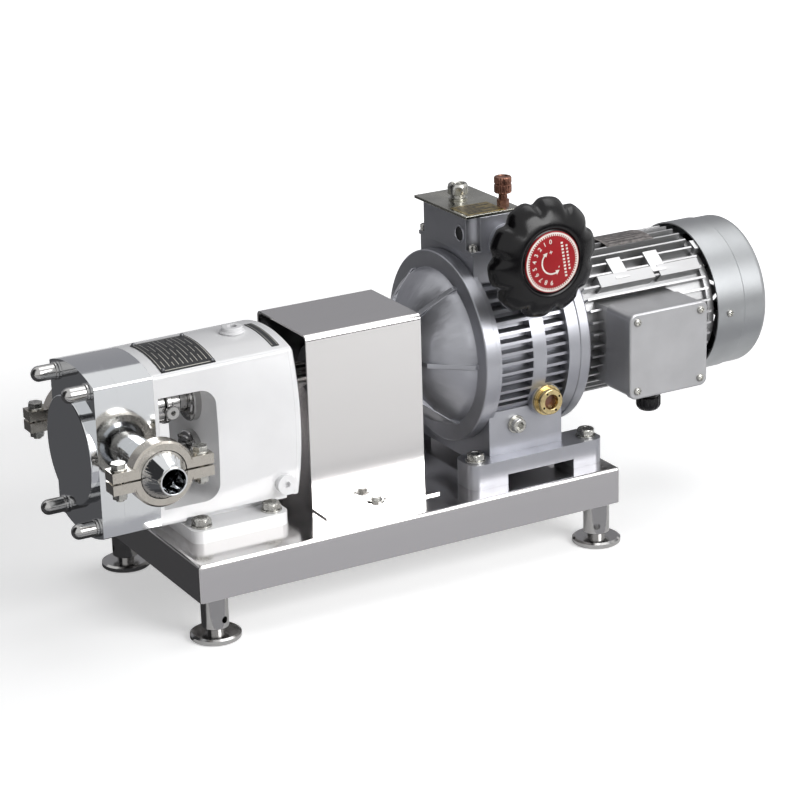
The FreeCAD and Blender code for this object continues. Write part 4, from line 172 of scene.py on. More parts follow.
def dusty_corners(tree, shader, amount):
    """Darkens a drifting colour in the corners with painted shade, from ambient occlusion."""
    # Ambient occlusion masks the corners and gaps that the painted shade darkens.
    corner = add_node(tree, "ShaderNodeAmbientOcclusion",
                      {"Distance": CORNER_SHADE_REACH * MM, "samples": 4})
    light = mapped(tree, corner.outputs["AO"], 0.2, 0.8, 1.0 - amount)
    clean = shader.inputs["Base Color"].links[0].from_socket
    shaded_colour = add_node(tree, "ShaderNodeVectorMath", {"operation": "SCALE"},
                     {0: clean, "Scale": light})
    tree.links.new(shaded_colour.outputs["Vector"], shader.inputs["Base Color"])


def uneven(tree, shader, low, high, size, *stretch):
    """Lets the roughness wander between two values over patches of a real size."""
    drift = mapped(tree, grains(tree, size, 3.0, *stretch), 0.3, 0.7, low, high)
    tree.links.new(drift, shader.inputs["Roughness"])


def relief(tree, shader, layers):
    """Bump from noises given as grain size and height in millimetres, and any stretch."""
    height = None
    for size, depth, *stretch in layers:
        scaled = add_node(tree, "ShaderNodeMath", {"operation": "MULTIPLY", 1: depth * MM},
                          {0: grains(tree, size, 3.0, *stretch)}).outputs[0]
        if height is not None:
            scaled = add_node(tree, "ShaderNodeMath", {"operation": "ADD"},
                              {0: height, 1: scaled}).outputs[0]
        height = scaled
    bump = add_node(tree, "ShaderNodeBump", {"Distance": 1.0, "Strength": 1.0},
                    {"Height": height})
    tree.links.new(bump.outputs["Normal"], shader.inputs["Normal"])


def made(name, colour, metallic, roughness, tint=None, corner_shade=None, gloss=None, bumps=None, **more):
    """A material: its shader's plain values, then its tint, painted corner shade, uneven gloss and
    relief.
    """
    material = bpy.data.materials.new(name)
    material.use_nodes = True
    material.diffuse_color = colour
    tree = material.node_tree
    shader = tree.nodes["Principled BSDF"]
    shader.inputs["Base Color"].default_value = colour
    shader.inputs["Metallic"].default_value = metallic
    shader.inputs["Roughness"].default_value = roughness
    for socket, value in more.items():
        shader.inputs[socket.replace("_", " ")].default_value = value
    if tint:
        tinted(tree, shader, colour, *tint)
    # Painted shade in the corners, by the given amount.
    if corner_shade:
        dusty_corners(tree, shader, corner_shade)
    if gloss:
        uneven(tree, shader, *gloss)
    if bumps:
        relief(tree, shader, bumps)
    return material


# Finishes

def polished_sheet(look):
    """Cold-rolled stainless sheet, belt-polished: bright, with faint lines along its length."""
    return made("polished_stainless_sheet", linear("#DEDCDB"), 1.0, 0.16,
                gloss=(0.11, 0.19, 40, ALONG_LINE),
                bumps=((0.7, 0.004, ALONG_LINE), (60, 0.10)))


def mirror_stainless(look):
    """Stainless plate polished to a mirror: sharp reflections that waver a little."""
    return made("mirror_stainless", linear("#D8DADC"), 1.0, 0.07, gloss=(0.05, 0.10, 25),
                bumps=((35, 0.05),))


def cast_stainless(look):
    """Investment-cast stainless, bead-blasted and tumbled: satin and slightly pebbled."""
    return made("cast_stainless", linear("#BDB8B0"), 1.0, 0.22, gloss=(0.16, 0.3, 6),
                bumps=((2.2, 0.03), (12, 0.05)))


def turned_stainless(look):
    """Stainless bar turned on a lathe: bright, with a slightly uneven shine."""
    return made("turned_stainless", linear("#B4B3B2"), 1.0, 0.16, gloss=(0.11, 0.24, 8),
                bumps=((5, 0.012),))


def zinc_steel(look):
    """Steel fixings with bright zinc: greyer than stainless and a little cloudy."""
    return made("zinc_plated_steel", linear("#C6C5C0"), 1.0, 0.3, tint=(0.6, 5),
                gloss=(0.18, 0.34, 3), bumps=((1.2, 0.01),))


def white_enamel(look):
    """Stoved white enamel on an iron casting: glossy, with a soft orange-peel wave."""
    return made("white_enamel", look.enamel, 0.0, 0.22, tint=(0.95, 60), gloss=(0.2, 0.26, 60),
                bumps=((3.5, 0.012),), Coat_Weight=0.3, Coat_Roughness=0.08)


def flake_paint(name, colour, grain, metallic=0.8, corner_shade=0.3):
    """Aluminium-flake paint: silvery, a little uneven in its sheen, with painted shade darkening
    its corners.
    """
    # The corner amount darkens the colour with painted shade from ambient occlusion.
    return made(name, colour, metallic, 0.36, tint=(0.9, 40), corner_shade=corner_shade, gloss=(0.32, 0.4, 40),
                bumps=((1.6, grain), (9, grain * 2)))


def silver_paint(look):
    """Silver paint over sand-cast iron: the casting's grain shows through it."""
    return flake_paint("silver_paint_on_casting", look.casting_paint, 0.03)


def die_cast_aluminium(look):
    """Pressure-cast aluminium, painted thinly: pale and satin, with flow marks."""
    # Its corners take more painted shade than the castings'.
    return flake_paint("die_cast_aluminium", look.motor_paint, 0.02, corner_shade=0.4)


def cowl_paint(look):
    """Silver paint on pressed steel sheet: smooth and satin."""
    # Its corners take little painted shade.
    return flake_paint("silver_paint_on_sheet", look.cowl, 0.006, corner_shade=0.1)


def box_paint(look):
    """Grey enamel with a little flake on a die-cast box: duller than the castings."""
    # Its corners take more painted shade than the castings'.
    return flake_paint("grey_paint_on_box", look.box_grey, 0.012, metallic=0.7, corner_shade=0.4)


def phenolic(look):
    """Moulded black phenolic, buffed: deep black with a wet-looking gloss."""
    return made("black_phenolic", look.wheel, 0.0, 0.22, gloss=(0.16, 0.28, 10),
                bumps=((14, 0.04),), Specular_IOR_Level=0.3)


def red_print(look):
    """Screen-printed red on an aluminium disc under clear lacquer."""
    return made("red_printed_disc", look.dial, 0.0, 0.4, tint=(0.88, 12), gloss=(0.3, 0.42, 6),
                Specular_IOR_Level=0.3)


def white_print(look):
    """White screen-printing ink: flat and slightly uneven."""
    return made("white_ink", linear("#EAE4DC"), 0.0, 0.5, tint=(0.86, 4))


def brass(look):
    """Turned brass, lightly lacquered: warm yellow with bright turned edges."""
    return made("turned_brass", linear("#D0BC8C"), 1.0, 0.2, tint=(0.72, 6),
                gloss=(0.14, 0.3, 4))


def copper_brown(look):
    """Brass vent darkened by heat and oil: brown with a coppery shine on its edges."""
    return made("darkened_copper", linear("#9A7060"), 1.0, 0.34, tint=(0.55, 5),
                gloss=(0.26, 0.44, 3))


def dark_steel(look):
    """Oiled steel: dark grey with a soft shine."""
    return made("oiled_steel", linear("#6E6F72"), 1.0, 0.3, gloss=(0.22, 0.42, 5))


def sheet_aluminium(look):
    """Thin aluminium lid, clear-lacquered: pale with a warm tinge."""
    return made("lacquered_sheet_aluminium", linear("#B9B8AE"), 1.0, 0.2, tint=(0.75, 25),
                gloss=(0.15, 0.3, 18))


def etched_plate(look):
    """Etched aluminium plate with a dark filled ground: satin and slightly grained."""
    return made("etched_plate_ground", look.plate, 0.6, 0.4, tint=(0.7, 3),
                gloss=(0.34, 0.5, 2))


def weathered_sheet(look):
    """Bare zinc sheet gone dull: brownish grey, with darker blotches and hardly a gleam."""
    return made("weathered_sheet", linear("#8C8785"), 0.7, 0.55, tint=(0.45, 5),
                bumps=((1.5, 0.04),))


def plate_metal(look):
    """Bare metal left standing between the etched fields of a plate: pale and bright."""
    return made("plate_lines", linear("#BCBAB2"), 1.0, 0.32, gloss=(0.25, 0.42, 2))


def gold_plate(look):
    """Anodised gold sheet: warm, satin, worn darker in patches."""
    return made("gold_anodised_plate", linear("#A08E5C"), 0.9, 0.35, tint=(0.4, 4))


def clear_glass(look):
    """Pressed sight glass with oil behind: clear and slightly amber."""
    return made("sight_glass", linear("#7A4A34"), 0.0, 0.05, Transmission_Weight=0.4, IOR=1.5)


def black_rubber(look):
    """Moulded nitrile rubber: black, dull, with a bloom of grey."""
    return made("nitrile_rubber", linear("#1A1A1B"), 0.0, 0.6, tint=(0.6, 8))


def cast_iron(look):
    """Machined grey iron: dark with a dull shine."""
    return made("grey_iron", linear("#55565A"), 0.8, 0.45, bumps=((1.5, 0.02),))


FINISHED = {}


def finish_of(finish):
    """One material for each finish, shared by all the pieces that have it."""
    if finish not in FINISHED:
        FINISHED[finish] = finish(bpy.context.scene.pump_finish)
    return FINISHED[finish]


# Pieces


def place(obj, node, replaced):
    """Lets a piece ride with a solid and, where it should, stand for it."""
    bpy.context.scene.collection.objects.link(obj)
    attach(obj, BODY_OF[node])
    if replaced:
        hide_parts(node)
    return obj


def piece(bm, name, finish, node, replaced=True, sharp=30):
    """Turns drawn faces into a placed piece, smooth but for its sharp edges."""
    for face in bm.faces:
        face.smooth = True
    for edge in bm.edges:
        edge.smooth = len(edge.link_faces) != 2 or edge.calc_face_angle(0) < math.radians(sharp)
    mesh = bpy.data.meshes.new(name)
    bm.to_mesh(mesh)
    bm.free()
    mesh.materials.append(finish_of(finish))
    return place(bpy.data.objects.new(name, mesh), node, replaced)


def soften(obj, width):
    """Breaks the sharp edges of a piece by a small radius, in millimetres."""
    bevel = obj.modifiers.new("broken_edges", "BEVEL")
    bevel.width = width * MM
    bevel.segments = 2
    bevel.limit_method = "ANGLE"
    bevel.angle_limit = math.radians(30)
    bevel.miter_outer = "MITER_ARC"
    even = obj.modifiers.new("even_shading", "WEIGHTED_NORMAL")
    even.mode = "FACE_AREA_WITH_ANGLE"
    even.keep_sharp = True


def solid_form(node):
    """The faces of a solid, joined up and without the lines that divide flat faces."""
    bm = bmesh.new()
    bm.from_mesh(frame["nodes"][node].data)
    bmesh.ops.remove_doubles(bm, verts=bm.verts, dist=0.00001)
    bmesh.ops.dissolve_limit(bm, angle_limit=math.radians(0.5), verts=bm.verts, edges=bm.edges)
    return bm


def dress(node, name, finish, edge):
    """A piece of the solid's own form with clean faces and broken edges."""
    obj = piece(solid_form(node), name, finish, node)
    if edge:
        soften(obj, edge)


def separate_solids(node):
    """The lowest and highest corner of each separate solid of a node, from the pump's end on."""
    bm = solid_form(node)
    left = set(bm.verts)
    found = []
    while left:
        reach = [left.pop()]
        low, high = Vector(reach[0].co), Vector(reach[0].co)
        while reach:
            vertex = reach.pop()
            low, high = Vector(map(min, low, vertex.co)), Vector(map(max, high, vertex.co))
            near = {edge.other_vert(vertex) for edge in vertex.link_edges} & left
            left -= near
            reach.extend(near)
        found.append((low, high))
    bm.free()
    return sorted(found, key=lambda corners: tuple(corners[0]))


def middle_of(node):
    """The middle of a solid's box."""
    low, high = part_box(node)
    return (low + high) / 2


def foot_of(node):
    """The middle of a solid's underside."""
    foot = middle_of(node)
    foot.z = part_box(node)[0].z
    return foot


def front_of(node, behind=0.0):
    """The middle of a solid's face to the viewer, or a point behind it, in millimetres."""
    front = middle_of(node)
    front.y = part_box(node)[0].y + behind * MM
    return front


def hexagon(angle):
    """How far a hexagon reaches beyond the circle that its flats touch."""
    return 1 / math.cos((angle + math.pi / 6) % (math.pi / 3) - math.pi / 6)


def chamfered_hexagon(angle):
    """A hexagon whose corners a turned chamfer has cut."""
    return min(hexagon(angle), 1.07)


def cross(angle):
    """The outline of a crosshead recess, as a share of its reach."""
    off = abs((angle + math.pi / 4) % (math.pi / 2) - math.pi / 4)
    return min(1.0, 0.3 / max(math.sin(off), 0.01))


def turned(bm, profile, where, axis, around=48, turn=0.0, closed=False):
    """Sweeps a profile of radius, height and outline round an axis, in millimetres."""
    aim = Vector(axis).to_track_quat("Z", "Y").to_matrix().to_4x4()
    lathe = Matrix.Translation(Vector(where)) @ aim @ Matrix.Rotation(turn, 4, "Z")
    rings = []
    for radius, height, *outline in profile:
        ring = []
        for step in range(around):
            angle = 2 * math.pi * step / around
            reach = max(radius, 0.001) * (outline[0](angle) if outline else 1.0)
            point = Vector((reach * math.cos(angle), reach * math.sin(angle), height)) * MM
            ring.append(bm.verts.new(lathe @ point))
        rings.append(ring)
    if closed:
        rings.append(rings[0])
    drawn = []
    for lower, upper in zip(rings, rings[1:]):
        for step in range(around):
            after = (step + 1) % around
            drawn.append(bm.faces.new((lower[step], lower[after], upper[after], upper[step])))
    if not closed:
        drawn += [bm.faces.new(rings[0]), bm.faces.new(rings[-1])]
    bmesh.ops.recalc_face_normals(bm, faces=drawn)


def turned_piece(name, finish, node, profile, where, axis, around, closed=False, **more):
    """A piece of one turned form, which stands for its solid or sits on it."""
    bm = bmesh.new()
    turned(bm, profile, where, axis, around, closed=closed)
    piece(bm, name, finish, node, **more)


def bolt(bm, seat, flats, length, pitch, turn):
    """A hexagon bolt on a washer, its head above the seat and its thread below it."""
    shank, deep, washer = 5.0, 0.85, BOLT_WASHER
    half, top = flats / 2, washer + BOLT_HEAD
    turned(bm, [(shank + 0.3, 0), (10.2, 0), (10.5, 0.3), (10.5, washer - 0.4),
                (10.1, washer), (shank + 0.3, washer)], seat, UP, 48, closed=True)
    turned(bm, [(half * 0.8, washer), (half * 0.96, washer + 0.1), (half * 0.96, washer + 0.5),
                (half, washer + 0.7, hexagon), (half, top - 1.6, hexagon),
                (half, top - 0.8, chamfered_hexagon), (half * 0.94, top), (half * 0.6, top),
                (half * 0.54, top - 0.4), (0, top - 0.4)], seat, UP, 72, turn)
    profile = [(shank, washer)]
    height = 0.0
    while height - pitch > -length:
        profile += [(shank, height - pitch * 0.3), (shank, height - pitch * 0.45),
                    (shank - deep, height - pitch * 0.95)]
        height -= pitch
    profile += [(shank - deep, -length + 0.5), (shank - deep - 0.5, -length)]
    turned(bm, profile, seat, UP, 32)


def pan_screw(bm, seat, radius, rise):
    """A crosshead pan screw that faces the viewer."""
    turned(bm, [(radius, 0), (radius, rise * 0.35), (radius * 0.9, rise * 0.7),
                (radius * 0.7, rise * 0.93), (radius * 0.6, rise), (radius * 0.55, rise, cross),
                (radius * 0.5, rise * 0.45, cross), (0, rise * 0.4)], seat, TO_VIEWER, 64, 0.4)


def socket_screw(bm, foot, rise):
    """A socket head screw that stands upright, grooved round its head."""
    def grooved(angle):
        return 1.0 - 0.05 * math.cos(24 * angle)

    turned(bm, [(4.0, 0), (4.2, 0.4, grooved), (4.2, rise - 1, grooved), (3.9, rise - 0.2),
                (3.6, rise), (2.5, rise), (2.2, rise - 0.3, hexagon),
                (2.2, rise - 3.2, hexagon), (0, rise - 3.4)], foot, UP, 96)


def surface_of(node):
    """A solid's faces, ready to be met by rays."""
    bm = bmesh.new()
    bm.from_mesh(frame["nodes"][node].data)
    tree = BVHTree.FromBMesh(bm)
    bm.free()
    return tree


def top_at(surface, x, y):
    """The highest point of a surface above a place in plan."""
    hit = surface.ray_cast(Vector((x, y, 1.0)), Vector(DOWN))[0]
    if hit is None:
        raise ValueError("a strip runs past the surface that carries it")
    return hit


def join_rows(bm, rows):
    """Closes rows of four corners, two by two, into a strip with ends."""
    drawn = []
    for first, second in zip(rows, rows[1:]):
        for one, two in ((0, 1), (1, 3), (3, 2), (2, 0)):
            drawn.append(bm.faces.new((first[one], first[two], second[two], second[one])))
    for row in (rows[0], rows[-1]):
        drawn.append(bm.faces.new((row[0], row[1], row[3], row[2])))
    bmesh.ops.recalc_face_normals(bm, faces=drawn)


def laid_strip(bm, surface, start, stop, width, lift, thick):
    """A thin strip that follows a top surface between two places in plan."""
    start, stop = Vector((*start, 0)), Vector((*stop, 0))
    along = (stop - start).normalized()
    across = Vector((-along.y, along.x, 0)) * width * MM / 2
    step_length = 2.0 * MM
    count = max(2, int((stop - start).length / step_length))
    rows = []
    for step in range(count + 1):
        middle = start.lerp(stop, step / count)
        feet = [top_at(surface, *(middle + side).xy) for side in (across, -across)]
        rows.append([bm.verts.new(foot + Vector((0, 0, height * MM)))
                     for foot in feet for height in (lift + thick, lift)])
    join_rows(bm, rows)


# Operators

CASTING = "casting"


class DressStep(bpy.types.Operator):
    """Shared base of the steps: a table of solids, piece names, finishes and edges"""
    bl_options = {"REGISTER", "UNDO"}
    table = ()

    def execute(self, context):
        sizes = context.scene.pump_sizes
        for node, name, finish, edge in self.table:
            dress(node, name, finish, sizes.casting_edge / MM if edge == CASTING else edge)
        self.add(sizes)
        return {"FINISHED"}

    def add(self, sizes):
        """Adds the pieces that the table doesn't cover."""


class PUMPSET_OT_base(DressStep):
    """Polished base tray and its levelling feet"""
    bl_idname = "pumpset.base"
    bl_label = "Base and Feet"
    table = (("base_frame", "base_tray", polished_sheet, 0.3),
             ("foot_pump_near", "foot_1", turned_stainless, 0.3),
             ("foot_pump_far", "foot_2", turned_stainless, 0.3),
             ("foot_motor_near", "foot_3", turned_stainless, 0.3),
             ("foot_motor_far", "foot_4", turned_stainless, 0.3))


class PUMPSET_OT_pump(DressStep):
    """Enamelled bearing housing, polished head, bare plates and plugs"""
    bl_idname = "pumpset.pump"
    bl_label = "Pump"
    table = (("pump_housing", "bearing_housing", white_enamel, CASTING),
             ("gearbox_cover", "rear_cover", white_enamel, CASTING),
             ("rotor_case", "rotor_casing", mirror_stainless, 0.3),
             ("front_cover", "head_cover", mirror_stainless, 0.3),
             ("cap_nuts", "domed_nuts", turned_stainless, 0.2),
             ("cover_studs", "studs", turned_stainless, 0),
             ("shaft_seals", "seals", turned_stainless, 0.3),
             ("name_plate", "bare_plate", etched_plate, 0),
             ("drive_shaft", "upper_shaft", turned_stainless, 0.2),
             ("driven_shaft", "lower_shaft", turned_stainless, 0.2),
             ("drive_rotor", "upper_rotor", mirror_stainless, 0.2),
             ("driven_rotor", "lower_rotor", mirror_stainless, 0.2),
             ("drive_timing_gear", "upper_gear", dark_steel, 0),
             ("driven_timing_gear", "lower_gear", dark_steel, 0),
             ("ball_bearings", "bearings", dark_steel, 0.3))

    def add(self, sizes):
        plate_fields()
        rear_strip()
        filler_plug()
        seal_glands()


FIELD_ENDS = (((0.07, 0.30), (0.36, 0.93)), ((0.07, 0.22), (0.30, 0.52), (0.60, 0.93)),
              ((0.07, 0.44), (0.52, 0.78)), ((0.07, 0.16), (0.24, 0.66), (0.72, 0.93)))


def plate_fields():
    """Raised border, blank ruled fields and corner rivets of the bare plate."""
    surface = surface_of("name_plate")
    low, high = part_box("name_plate")
    margin, thin, thick = 1.6 * MM, 0.02, 0.12
    x0, x1, y0, y1 = low.x + margin, high.x - margin, low.y + margin, high.y - margin
    bm = bmesh.new()
    for y in (y0, y1):
        laid_strip(bm, surface, (x0, y), (x1, y), 0.8, thin, thick)
    for x in (x0, x1):
        laid_strip(bm, surface, (x, y0), (x, y1), 0.8, thin, thick)
    rows = 11
    for row in range(1, rows):
        x = x0 + (x1 - x0) * row / rows
        for first, last in FIELD_ENDS[row % len(FIELD_ENDS)]:
            laid_strip(bm, surface, (x, y0 + (y1 - y0) * first), (x, y0 + (y1 - y0) * last),
                       0.7, thin, thick)
    piece(bm, "plate_ruling", plate_metal, "name_plate", replaced=False)
    bm = bmesh.new()
    inset = 0.9 * MM
    for x in (x0 + inset, x1 - inset):
        for y in (y0 + inset, y1 - inset):
            turned(bm, [(2.2, -0.3), (2.2, 0.6), (1.9, 1.5), (1.2, 2.1), (0, 2.3)],
                   top_at(surface, x, y), UP, 20)
    piece(bm, "plate_rivets", dark_steel, "name_plate", replaced=False)


def rear_strip():
    """Small dark strip with two pale lines, across the crown near the housing's rear."""
    surface = surface_of("pump_housing")
    start, stop, along, width, thick = -0.041, 0.020, -0.1735, 8.0, 0.5
    line, margin = 2.7 * MM, 1.5 * MM
    bm = bmesh.new()
    laid_strip(bm, surface, (along, start), (along, stop), width, 0.05, thick)
    piece(bm, "rear_strip", etched_plate, "pump_housing", replaced=False)
    bm = bmesh.new()
    for x in (along - line, along + line):
        laid_strip(bm, surface, (x, start + margin), (x, stop - margin), 0.6, thick + 0.06, 0.08)
    piece(bm, "rear_strip_lines", plate_metal, "pump_housing", replaced=False)


def filler_plug():
    """Low filler plug on the crown: a broad enamelled collar round a socket plug."""
    foot = foot_of("pump_filler_plug")
    turned_piece("filler_plug", white_enamel, "pump_filler_plug",
                 [(0, 0), (12.8, 0), (13, 0.4), (13, 1.4), (12.2, 2.2), (10.8, 2.5), (10.6, 5.2),
                  (9.8, 6.0), (6, 6.3), (4.8, 6.2), (4.2, 5.8, hexagon), (4.2, 2.4, hexagon),
                  (0, 2.2)], foot, UP, 72)
    # A dark disc at the bottom of the enamelled hexagon socket: painted shade for its depth.
    turned_piece("filler_socket_shade", dark_steel, "pump_filler_plug",
                 [(0, 2.3), (4, 2.3, hexagon), (4, 2.6, hexagon), (0, 2.6)], foot, UP, 72,
                 replaced=False)


def seal_glands():
    """Steel seal glands and bearing covers round the two shafts, seen through the window."""
    seal_face, bearing_face, screw_circle = -0.2803, -0.2454, 21.2 * MM
    bm = bmesh.new()
    for shaft in ("drive_shaft", "driven_shaft"):
        line = middle_of(shaft)
        turned(bm, [(13.4, 0), (20.5, 0), (21.5, 1), (21.5, 5), (20.5, 6), (17.5, 6.5),
                    (17.5, 15), (16, 16.5), (13.4, 16.5)], (seal_face, line.y, line.z),
               TO_MOTOR, 48, closed=True)
        turned(bm, [(13.4, 0), (24, 0), (24, 6), (22.8, 7.2), (19, 7.4), (18, 9), (15, 9.4),
                    (13.4, 9.4)], (bearing_face, line.y, line.z), TO_PUMP, 60, closed=True)
        for number in range(4):
            angle = math.pi / 2 * number + math.pi / 4
            seat = (bearing_face - 7 * MM, line.y + screw_circle * math.cos(angle),
                    line.z + screw_circle * math.sin(angle))
            turned(bm, [(2.6, 0), (2.6, 2), (2.2, 2.4), (0, 2.4)], seat, TO_PUMP, 24)
    lug = (-0.2765, -0.0155, 0.2035)
    turned(bm, [(2.6, 0), (6.2, 0), (6.8, 0.6), (6.8, 4.4), (6.2, 5), (2.6, 5)], lug,
           TO_VIEWER, 48, closed=True)
    piece(bm, "seal_glands", turned_stainless, "shaft_seals", replaced=False)


class PUMPSET_OT_ports(DressStep):
    """Clamped port fittings on both sides of the head"""
    bl_idname = "pumpset.ports"
    bl_label = "Port Fittings"
    table = (("near_port_reducer", "near_reducer", mirror_stainless, 0.3),
             ("far_port_reducer", "far_reducer", mirror_stainless, 0.3),
             ("port_gaskets", "gaskets", black_rubber, 0),
             ("near_port_clamp", "near_clamp", cast_stainless, 1.0),
             ("far_port_clamp", "far_clamp", cast_stainless, 1.0),
             ("clamp_bolts", "clamp_bolt_set", zinc_steel, 0.3))


class PUMPSET_OT_coupling(DressStep):
    """Coupling with rubber spider, under its folded guard"""
    bl_idname = "pumpset.coupling"
    bl_label = "Coupling and Guard"
    table = (("coupling_guard", "guard", polished_sheet, 0.25),
             ("guard_screws", "guard_screw_set", zinc_steel, 0.2),
             ("pump_coupling_hub", "hub_pump_side", cast_iron, 0.3),
             ("drive_coupling_hub", "hub_drive_side", cast_iron, 0.3),
             ("coupling_spider", "spider", black_rubber, 0.3))


class PUMPSET_OT_variator(DressStep):
    """Variable-speed gear with its ribbed bell, finned housing and oil fittings"""
    bl_idname = "pumpset.variator"
    bl_label = "Variable-Speed Gear"
    table = (("variator_bell", "bell", silver_paint, CASTING),
             ("variator_housing", "finned_housing", silver_paint, 0.6),
             ("variator_output_shaft", "output_shaft", dark_steel, 0),
             ("rolling_discs", "discs", dark_steel, 0),
             ("outer_race", "race", dark_steel, 0),
             ("sight_ring", "sight_glass_ring", brass, 0.3),
             ("sight_lens", "sight_glass_lens", clear_glass, 0),
             ("drain_plug", "drain", zinc_steel, 0.3))

    def add(self, sizes):
        foot_bolts(sizes)
        sight_pin_holes()


def foot_bolts(sizes):
    """Hexagon bolts that hold the pump and the variable-speed gear to the base."""
    head = BOLT_WASHER + BOLT_HEAD
    bm = bmesh.new()
    for number, (low, high) in enumerate(separate_solids("foot_bolts")):
        seat = (low + high) / 2
        seat.z = high.z - head * MM
        bolt(bm, seat, sizes.bolt_flats / MM, (seat.z - low.z) / MM, sizes.thread_pitch / MM,
             0.4 * number)
    piece(bm, "foot_bolt_set", zinc_steel, "foot_bolts")


def sight_pin_holes():
    """Four black discs flush with the face of the sight glass ring: painted shade standing for its
    pin holes.
    """
    centre, circle = front_of("sight_ring"), 10.4
    bm = bmesh.new()
    for number in range(4):
        angle = math.pi / 2 * number + 0.5
        hole = centre + Vector((math.cos(angle), 0, math.sin(angle))) * circle * MM
        # Each black disc is painted shade for one pin hole.
        turned(bm, [(1.2, -0.3), (1.2, 0), (0, 0)], hole, TO_VIEWER, 16)
    piece(bm, "sight_pin_holes", black_rubber, "sight_ring", replaced=False)


class PUMPSET_OT_controls(DressStep):
    """Control box with handwheel, dial, lid, filler and vent"""
    bl_idname = "pumpset.controls"
    bl_label = "Speed Control"
    table = (("control_box", "control_housing", silver_paint, CASTING),
             ("control_lid", "lid_plate", sheet_aluminium, 0.3),
             ("control_spindle", "spindle", turned_stainless, 0.2),
             ("control_nut", "travelling_nut", brass, 0.2))

    def add(self, sizes):
        handwheel(sizes)
        dial(sizes)
        dial_numbers()
        oil_filler()
        vent(sizes)
        lid_label()
        port_plug()


def handwheel(sizes):
    """Moulded wheel: a full rim with finger hollows, dished round a raised centre."""
    centre = middle_of("dial_disc")
    centre.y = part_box("handwheel")[0].y
    lobes, depth = sizes.wheel_lobes, sizes.lobe_depth / MM
    inner, outer = 41.0, 61.2
    first = math.radians(-9)

    def hollowed(radius):
        share = min(1.0, max(0.0, (radius - inner) / (outer - inner)))

        def outline(angle):
            wave = (0.5 + 0.5 * math.cos(lobes * (angle - first))) ** 3.2
            return 1.0 - wave * depth * share / radius
        return outline

    bore = 6.05
    profile = [(bore, 0), (31.4, 0), (31.8, -0.6), (32.3, -0.6), (32.8, 0.4), (34, 1.3),
               (36, 1.6), (39, 1.2), (43, 0.1), (47, -1.5), (50.5, -3.4), (53.8, -5.8),
               (56.8, -8.8), (59.2, -12.2), (60.8, -16), (outer, -19), (60, -22.4),
               (57.4, -24.6), (53.5, -25.4), (49.5, -24.6), (46.5, -22.4), (43, -19.6),
               (38, -18.2), (30, -17.4), (22, -17), (18, -18.5), (16.2, -22), (16, -30),
               (16, -63.4), (15, -64.3), (bore, -64.3)]
    turned_piece("wheel", phenolic, "handwheel",
                 [(radius, height, hollowed(radius)) for radius, height in profile],
                 centre, TO_VIEWER, 240, closed=True, sharp=85)


def dial_face():
    """The middle of the dial's printed face, a hair behind the solid's."""
    return front_of("dial_disc", DIAL_GAP)


def on_dial(reach, angle, lift):
    """A point of the dial at a radius and an angle, both seen from the front."""
    return dial_face() + Vector((reach * math.cos(angle), -lift, reach * math.sin(angle))) * MM


def dial(sizes):
    """Red dial with a white edge of marks, a two-way arrow and two rows of blank bars."""
    low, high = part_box("dial_disc")
    thick = (high.y - low.y) / MM - DIAL_GAP
    turned_piece("dial", red_print, "dial_disc",
                 [(0, -thick), (30.6, -thick), (31, 0.6 - thick), (31, -0.7), (30.5, -0.15),
                  (30, 0), (0, 0)], dial_face(), TO_VIEWER, 96)
    bm = bmesh.new()
    turned(bm, [(28.2, 0.01), (30.0, 0.01), (30.0, 0.06), (28.2, 0.06)], dial_face(), TO_VIEWER,
           96, closed=True)
    half = math.pi / sizes.dial_marks * 0.55
    for mark in range(sizes.dial_marks):
        angle = 2 * math.pi * mark / sizes.dial_marks
        printed(bm, [(26.4, angle - half), (28.4, angle - half), (28.4, angle + half),
                     (26.4, angle + half)])
    first, last, steps = math.radians(140), math.radians(290), 30
    for step in range(steps):
        near, far = [first + (last - first) * (step + more) / steps for more in (0, 1)]
        printed(bm, [(11.2, near), (12.8, near), (12.8, far), (11.2, far)])
    for angle, way in ((first, -1), (last, 1)):
        printed(bm, [(9.4, angle), (14.6, angle), (12, angle + way * 0.36)])
    for row in range(11):
        across, up = 9.4 + 0.5 * row, 17.0 - 3.4 * row
        for start, width in ((0, 2.6), (5.2, 2.2)):
            corners = [(across + start, up), (across + start + width, up),
                       (across + start + width, up + 1.9), (across + start, up + 1.9)]
            if all(math.hypot(*corner) < 25 for corner in corners):
                printed(bm, [(math.hypot(*corner), math.atan2(corner[1], corner[0]))
                             for corner in corners])
    piece(bm, "dial_marks", white_print, "dial_disc", replaced=False)


def printed(bm, corners):
    """A printed shape from corners given as radius and angle."""
    face = bm.faces.new([bm.verts.new(on_dial(reach, angle, 0.05)) for reach, angle in corners])
    face.normal_update()
    if face.normal.y > 0:
        face.normal_flip()


def dial_numbers():
    """Plain numbers round the dial, and a plus and a minus at the arrow's ends."""
    marks = [(str(number), 96 + 19 * number, 20.8, 6.4) for number in range(10)]
    marks += [("+", 100, 10, 7), ("-", 322, 10, 7)]
    for number, (text, degrees, reach, height) in enumerate(marks):
        letters = bpy.data.curves.new(f"dial_number_{number}", "FONT")
        letters.body = text
        letters.size = height * MM
        letters.align_x = letters.align_y = "CENTER"
        letters.extrude = 0.02 * MM
        letters.offset = 0.1 * MM
        letters.materials.append(finish_of(white_print))
        obj = bpy.data.objects.new(letters.name, letters)
        angle = math.radians(degrees)
        obj.matrix_world = Matrix.Translation(on_dial(reach, angle, 0.03)) @ \
            Matrix.Rotation(math.pi / 2, 4, "X") @ Matrix.Rotation(angle - math.pi / 2, 4, "Z")
        place(obj, "dial_disc", replaced=False)


